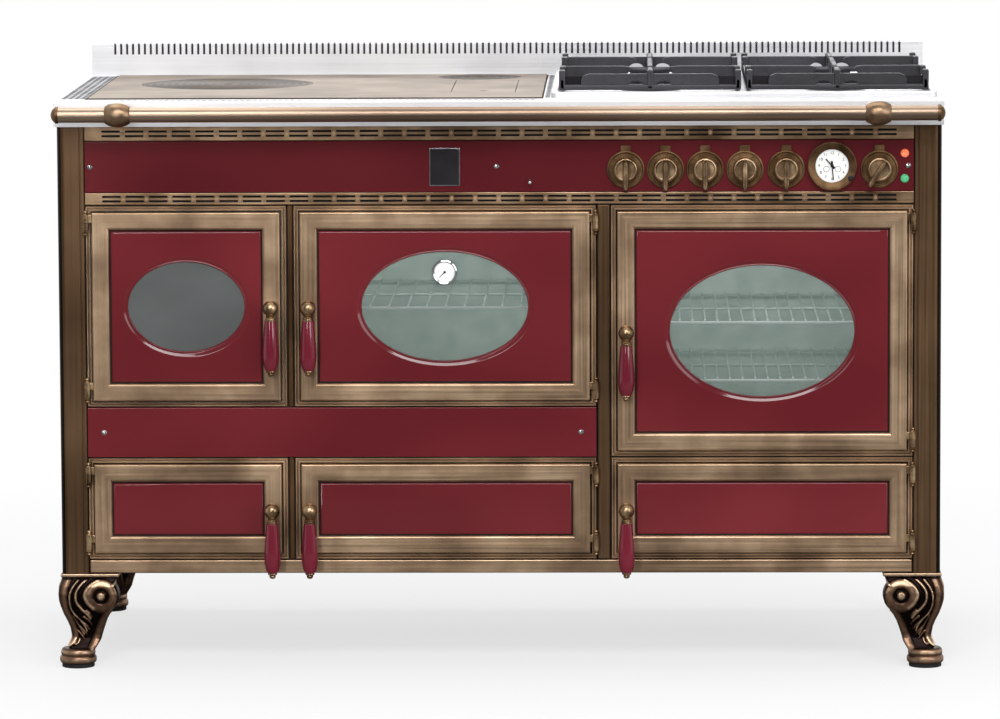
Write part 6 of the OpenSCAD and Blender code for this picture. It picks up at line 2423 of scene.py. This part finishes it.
def curve(points: Sequence[Flat], steps: int = 8) -> List[Flat]:
    """A smooth line through points.

    Args:
        points: The points that it passes.
        steps: Steps from one point to the next.

    Returns:
        The points of the line.
    """
    ends = [points[0], *points, points[-1]]
    line: List[Flat] = []
    for a, b, c, d in zip(ends, ends[1:], ends[2:], ends[3:]):
        for step in range(steps):
            t = step / steps
            line.append(tuple(0.5 * (2 * q + (r - p) * t + (2 * p - 5 * q + 4 * r - s) * t ** 2
                                     + (3 * q - p - 3 * r + s) * t ** 3) for p, q, r, s in zip(a, b, c, d)))
    line.append(points[-1])
    return line


@dataclass(frozen=True)
class Rib:
    """A raised rib on a foot, as points of distance from the corner and height."""

    points: Tuple[Flat, ...]
    widths: Span
    height: float = 1.0

    def rise(self, line: Sequence[Flat], u: float, z: float) -> float:
        """Height of the rib at a point, from 0 to its crest."""
        best, place = 1e9, 0
        for index, (a, b) in enumerate(line):
            far = (a - u) ** 2 + (b - z) ** 2
            if far < best:
                best, place = far, index
        half = self.widths[0] + (self.widths[1] - self.widths[0]) * place / len(line)
        share = math.sqrt(best) / half
        return self.height * (1.0 - share ** 2) ** 0.6 if share < 1.0 else 0.0


RIBS = (
    Rib(((11, 146), (5, 132), (3, 118), (5, 98), (11, 82), (17, 66), (20, 52), (17, 40)), (6.5, 4.5), 0.7),
    Rib(((27, 144), (17, 131), (12, 117), (13, 100), (19, 87), (28, 77), (35, 66), (38, 58)), (2.6, 2.0)),
    Rib(((40, 144), (29, 134), (22, 121), (23, 107), (31, 95), (40, 86), (44, 80)), (2.8, 3.4), 0.95),
    Rib(((57, 142), (45, 134), (37, 123), (37, 113), (43, 103), (50, 96)), (3.6, 4.4), 0.95),
    Rib(((17, 84), (24, 70), (29, 60), (33, 52)), (1.6, 2.4), 0.8),
    Rib(((38, 92), (43, 88), (47, 83)), (2.6, 1.2), 0.7),
    Rib(((34, 82), (41, 76), (46, 69)), (3.0, 1.2), 0.75),
    Rib(((30, 74), (37, 68), (42, 61)), (3.0, 1.2), 0.75),
    Rib(((26, 66), (33, 59), (38, 52)), (3.0, 1.2), 0.75),
    Rib(((24, 58), (29, 52), (33, 46)), (2.6, 1.2), 0.75),
    Rib(((80, 133), (85, 138), (90, 143)), (3.6, 2.0), 1.0),
    Rib(((19, 46), (14, 39), (7, 34)), (3.4, 2.6), 1.0),
    Rib(((26, 46), (24, 40), (19, 37)), (2.4, 1.6), 0.9),
    Rib(((82, 112), (80, 98), (71, 84), (62, 68), (55, 50), (49, 38), (46, 30)), (8.5, 7.5), 0.62),
)


@dataclass
class Feet:
    """The four cast scroll feet, each the same on both sides of its corner."""

    outer: Tuple[Flat, ...] = ((28, 5), (35, 7), (41, 10.5), (46, 13), (52, 13), (64, 11), (75, 7), (86, 2),
                               (98, -2),
                               (109, -5), (120, -6), (132, -5), (143, -1), (148, 0))
    inner: Tuple[Flat, ...] = ((28, 50), (41, 58), (52, 61), (64, 65), (75, 69), (86, 75), (92, 80),
                               (123, 85), (141, 84),
                               (148, 88))
    volute: Flat = (62.0, 116.0)
    volute_radius: float = 28.5
    boss: float = 8.0
    moat: float = 12.0
    foot_low: float = 28.0
    rise: float = 119.8
    levels: int = 92
    columns: int = 52
    thick: float = 34.0
    depth: float = 5.0
    base_in: float = 22.5

    def __post_init__(self) -> None:
        """Smooths the ribs once."""
        self.lines = [curve(rib.points) for rib in RIBS]

    def at(self, table: Sequence[Flat], z: float) -> float:
        """Reads a table of height and distance, with straight lines between its rows."""
        for (z0, u0), (z1, u1) in zip(table, table[1:]):
            if z <= z1:
                return u0 + (u1 - u0) * max(0.0, (z - z0) / (z1 - z0))
        return table[-1][1]

    def relief(self, u: float, z: float) -> float:
        """Height of the ornament at a point of a wing's face.

        Args:
            u: Distance from the corner.
            z: Height.

        Returns:
            0 in a hollow, 1 on a crest.
        """
        best = 0.0
        for rib, line in zip(RIBS, self.lines):
            best = max(best, rib.rise(line, u, z))
        away = math.hypot(u - self.volute[0], z - self.volute[1])
        if away < self.boss:
            return math.sqrt(1.0 - (away / self.boss) ** 2)
        if away < self.moat:
            return 0.0
        if away < self.volute_radius:
            middle = (self.moat + self.volute_radius) / 2
            share = abs(away - middle) / (self.volute_radius - middle)
            # Higher towards the top of the volute; in the colour this is painted light from above.
            lit = 0.72 + 0.16 * (z - self.volute[1]) / self.volute_radius
            return max(best if away > middle else 0.0, lit * (1.0 - share ** 2) ** 0.5)
        return best

    def ring(self, z: float) -> List[Point]:
        """One level of a foot, in distances from the corner.

        Args:
            z: Its height.

        Returns:
            The closed ring.
        """
        out = self.at(self.outer, z)
        far = self.at(self.inner, z)
        bulge = self.volute_radius ** 2 - (z - self.volute[1]) ** 2
        if bulge > 0:
            far = max(far, self.volute[0] + math.sqrt(bulge))
        turn = 8.0
        face: List[Flat] = []
        for step in range(6):
            angle = math.radians(225 + 45 * step / 6)
            face.append((out + turn + turn * math.cos(angle), out + turn + turn * math.sin(angle)))
        for step in range(self.columns + 1):
            face.append((out + turn + (far - 2.0 - out - turn) * step / self.columns, out))
        sunk = self.depth * 0.6
        wing = [(u, max(-6.9, v + sunk - self.depth * self.relief(u, z))) for u, v in face]
        wing += [(far, out + sunk + 2.0), (far, out + self.thick - 2.0), (far - 2.0, out + self.thick),
                 (out + self.thick + 4.0, out + self.thick)]
        corner = [(out + self.thick + 1.0, out + self.thick + 1.0)]
        start = wing[0]
        wing[0] = ((start[0] + start[1]) / 2, (start[0] + start[1]) / 2)
        return [(u, v, z) for u, v in wing + corner + [(v, u) for u, v in reversed(wing[1:])]]

    def place(self, side: int, end: int, point: Point) -> Point:
        """Moves a point from a corner's own distances to the part's frame.

        Args:
            side: -1 for a left foot, 1 for a right one.
            end: -1 for a front foot, 1 for a rear one.
            point: Distances inwards along X and Y, and height.

        Returns:
            The point in the part's frame.
        """
        edge = PLAN.skin if end < 0 else PLAN.casing_back
        return (side * (PLAN.body_half - point[0]), edge - end * point[1], point[2])

    def tone(self, spot: Vector) -> float:
        """The relief attribute at a point of the piece, which sets its colour: painted shade in the
        hollows, the neck and the base's grooves, and painted highlight on the crests, the plate's edge and
        the base's bulges, over a real patina.

        Args:
            spot: The point in millimetres.

        Returns:
            0 in a hollow, 1 on a crest.
        """
        u = PLAN.body_half - abs(spot.x)
        v = spot.y - PLAN.skin if spot.y < 0 else PLAN.casing_back - spot.y
        # Painted highlight on the plate's front edge; its top face is kept darker.
        if spot.z > 147.5:
            return 0.86 if spot.z < 152.0 else 0.3
        # The base: painted shade on its top under the wing, painted highlights on its two bulges and shade
        # between them.
        if spot.z < 31.5:
            away = math.hypot(u - self.base_in, v - self.base_in)
            return 0.3 if away < 26.5 else 0.55 + 0.3 * math.sin((spot.z - 6.0) / 12.5 * math.pi) ** 2
        # Painted shade in the neck under the plate.
        if spot.z > 143.0:
            return 0.1
        return min(1.0, self.relief(max(u, v), spot.z))

    def foot(self, shape: Shape, side: int, end: int) -> None:
        """Adds one foot.

        Args:
            shape: The piece that it is added to.
            side: -1 for a left foot, 1 for a right one.
            end: -1 for a front foot, 1 for a rear one.
        """
        rings = [[self.place(side, end, p) for p in ring] for ring in self.rings]
        shape.loft(rings, Look.FOOT)
        low, high = self.place(side, end, (-2.0, -2.0, 0.0)), self.place(side, end, (91.0, 91.0, 0.0))
        across, deep = sorted((low[0], high[0])), sorted((low[1], high[1]))
        shape.box(tuple(across), tuple(deep), (PLAN.foot_top - 6.0, PLAN.foot_top), Look.FOOT, 2.0, 3)
        centre = self.place(side, end, (self.base_in, self.base_in, 0.0))
        base = [(0.0, 7.0), (27.6, 7.0), (28.8, 8.4), (29.4, 11.0), (29.4, 14.0), (28.8, 16.6),
                (27.4, 18.2), (26.6, 18.8),
                (26.8, 19.6), (27.4, 21.4), (27.5, 24.0), (26.8, 27.4), (25.2, 29.6), (22.6, 30.8),
                (18.0, 31.2), (0.0, 31.2)]
        shape.lathe(base, centre, Axis.Z, Look.FOOT, 56)
        pad = [(0.0, 0.0), (25.2, 0.0), (26.0, 0.8), (26.0, 7.2), (0.0, 7.2)]
        shape.lathe(pad, centre, Axis.Z, Look.RUBBER, 40)

    def build(self) -> None:
        """Builds all four feet."""
        steps = range(self.levels + 1)
        self.rings = [self.ring(self.foot_low + self.rise * step / self.levels) for step in steps]
        shape = Shape("cast_feet_look")
        for side in (-1, 1):
            for end in (-1, 1):
                self.foot(shape, side, end)
        shape.done("range", ["cast_feet"], angle=50.0, attribute=self.tone)


# ---- Pieces kept from the CAD ---------------------------------------------------------------------


KEPT: Dict[str, Finish] = {
    "chassis": Look.FRAME,
    "casing_panels": Look.CASING,
    "panel_screws": Look.CHROME,
    "hotplate": Look.PLATE,
    "firebox": Look.BRICK,
    "ash_pan": Look.ASH,
    "wood_oven": Look.OVEN,
    "electric_oven": Look.OVEN,
    "oven_racks": Look.WIRE,
    "heating_elements": Look.ELEMENT,
    "flue_collar": Look.FLUE,
    "gas_manifold": Look.BRASS,
    "hour_hand": Look.BLACK,
    "minute_hand": Look.BLACK,
    "toggle_lever": Look.CHROME,
    "firebox_door_glass": Look.FIRE_GLASS,
    "wood_oven_door_glass": Look.GLASS,
    "electric_oven_door_glass": Look.GLASS,
}


def dress_kept() -> None:
    """Gives each node that stays a CAD mesh its finish."""
    for node, finish in KEPT.items():
        obj = bpy.data.objects.get(node)
        if obj is None:
            LOG.warning("no node %s", node)
            continue
        material = finish.material()
        if not obj.data.materials:
            obj.data.materials.append(material)
        for index in range(len(obj.material_slots)):
            obj.material_slots[index].material = material
        LOG.info("%s kept with %s", node, finish.name)


def main() -> None:
    """Builds the stage and every piece; each piece logs its face count."""
    logging.basicConfig(level=logging.INFO, format="%(name)s: %(message)s")
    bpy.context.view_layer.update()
    Studio().build()
    CornerPosts().build()
    Surrounds().build()
    RopeSeal().build()
    for plan in DOORS:
        Door(plan).build()
    Thermometer().build()
    VentTrims().build()
    Panels().build()
    Knobs().build()
    Clock().build()
    SignalLamps().build()
    TowelRail().build()
    Worktop().build()
    Backguard().build()
    HotplateLids().build()
    GasHob().build()
    Feet().build()
    dress_kept()


if __name__ == "__main__":
    main()
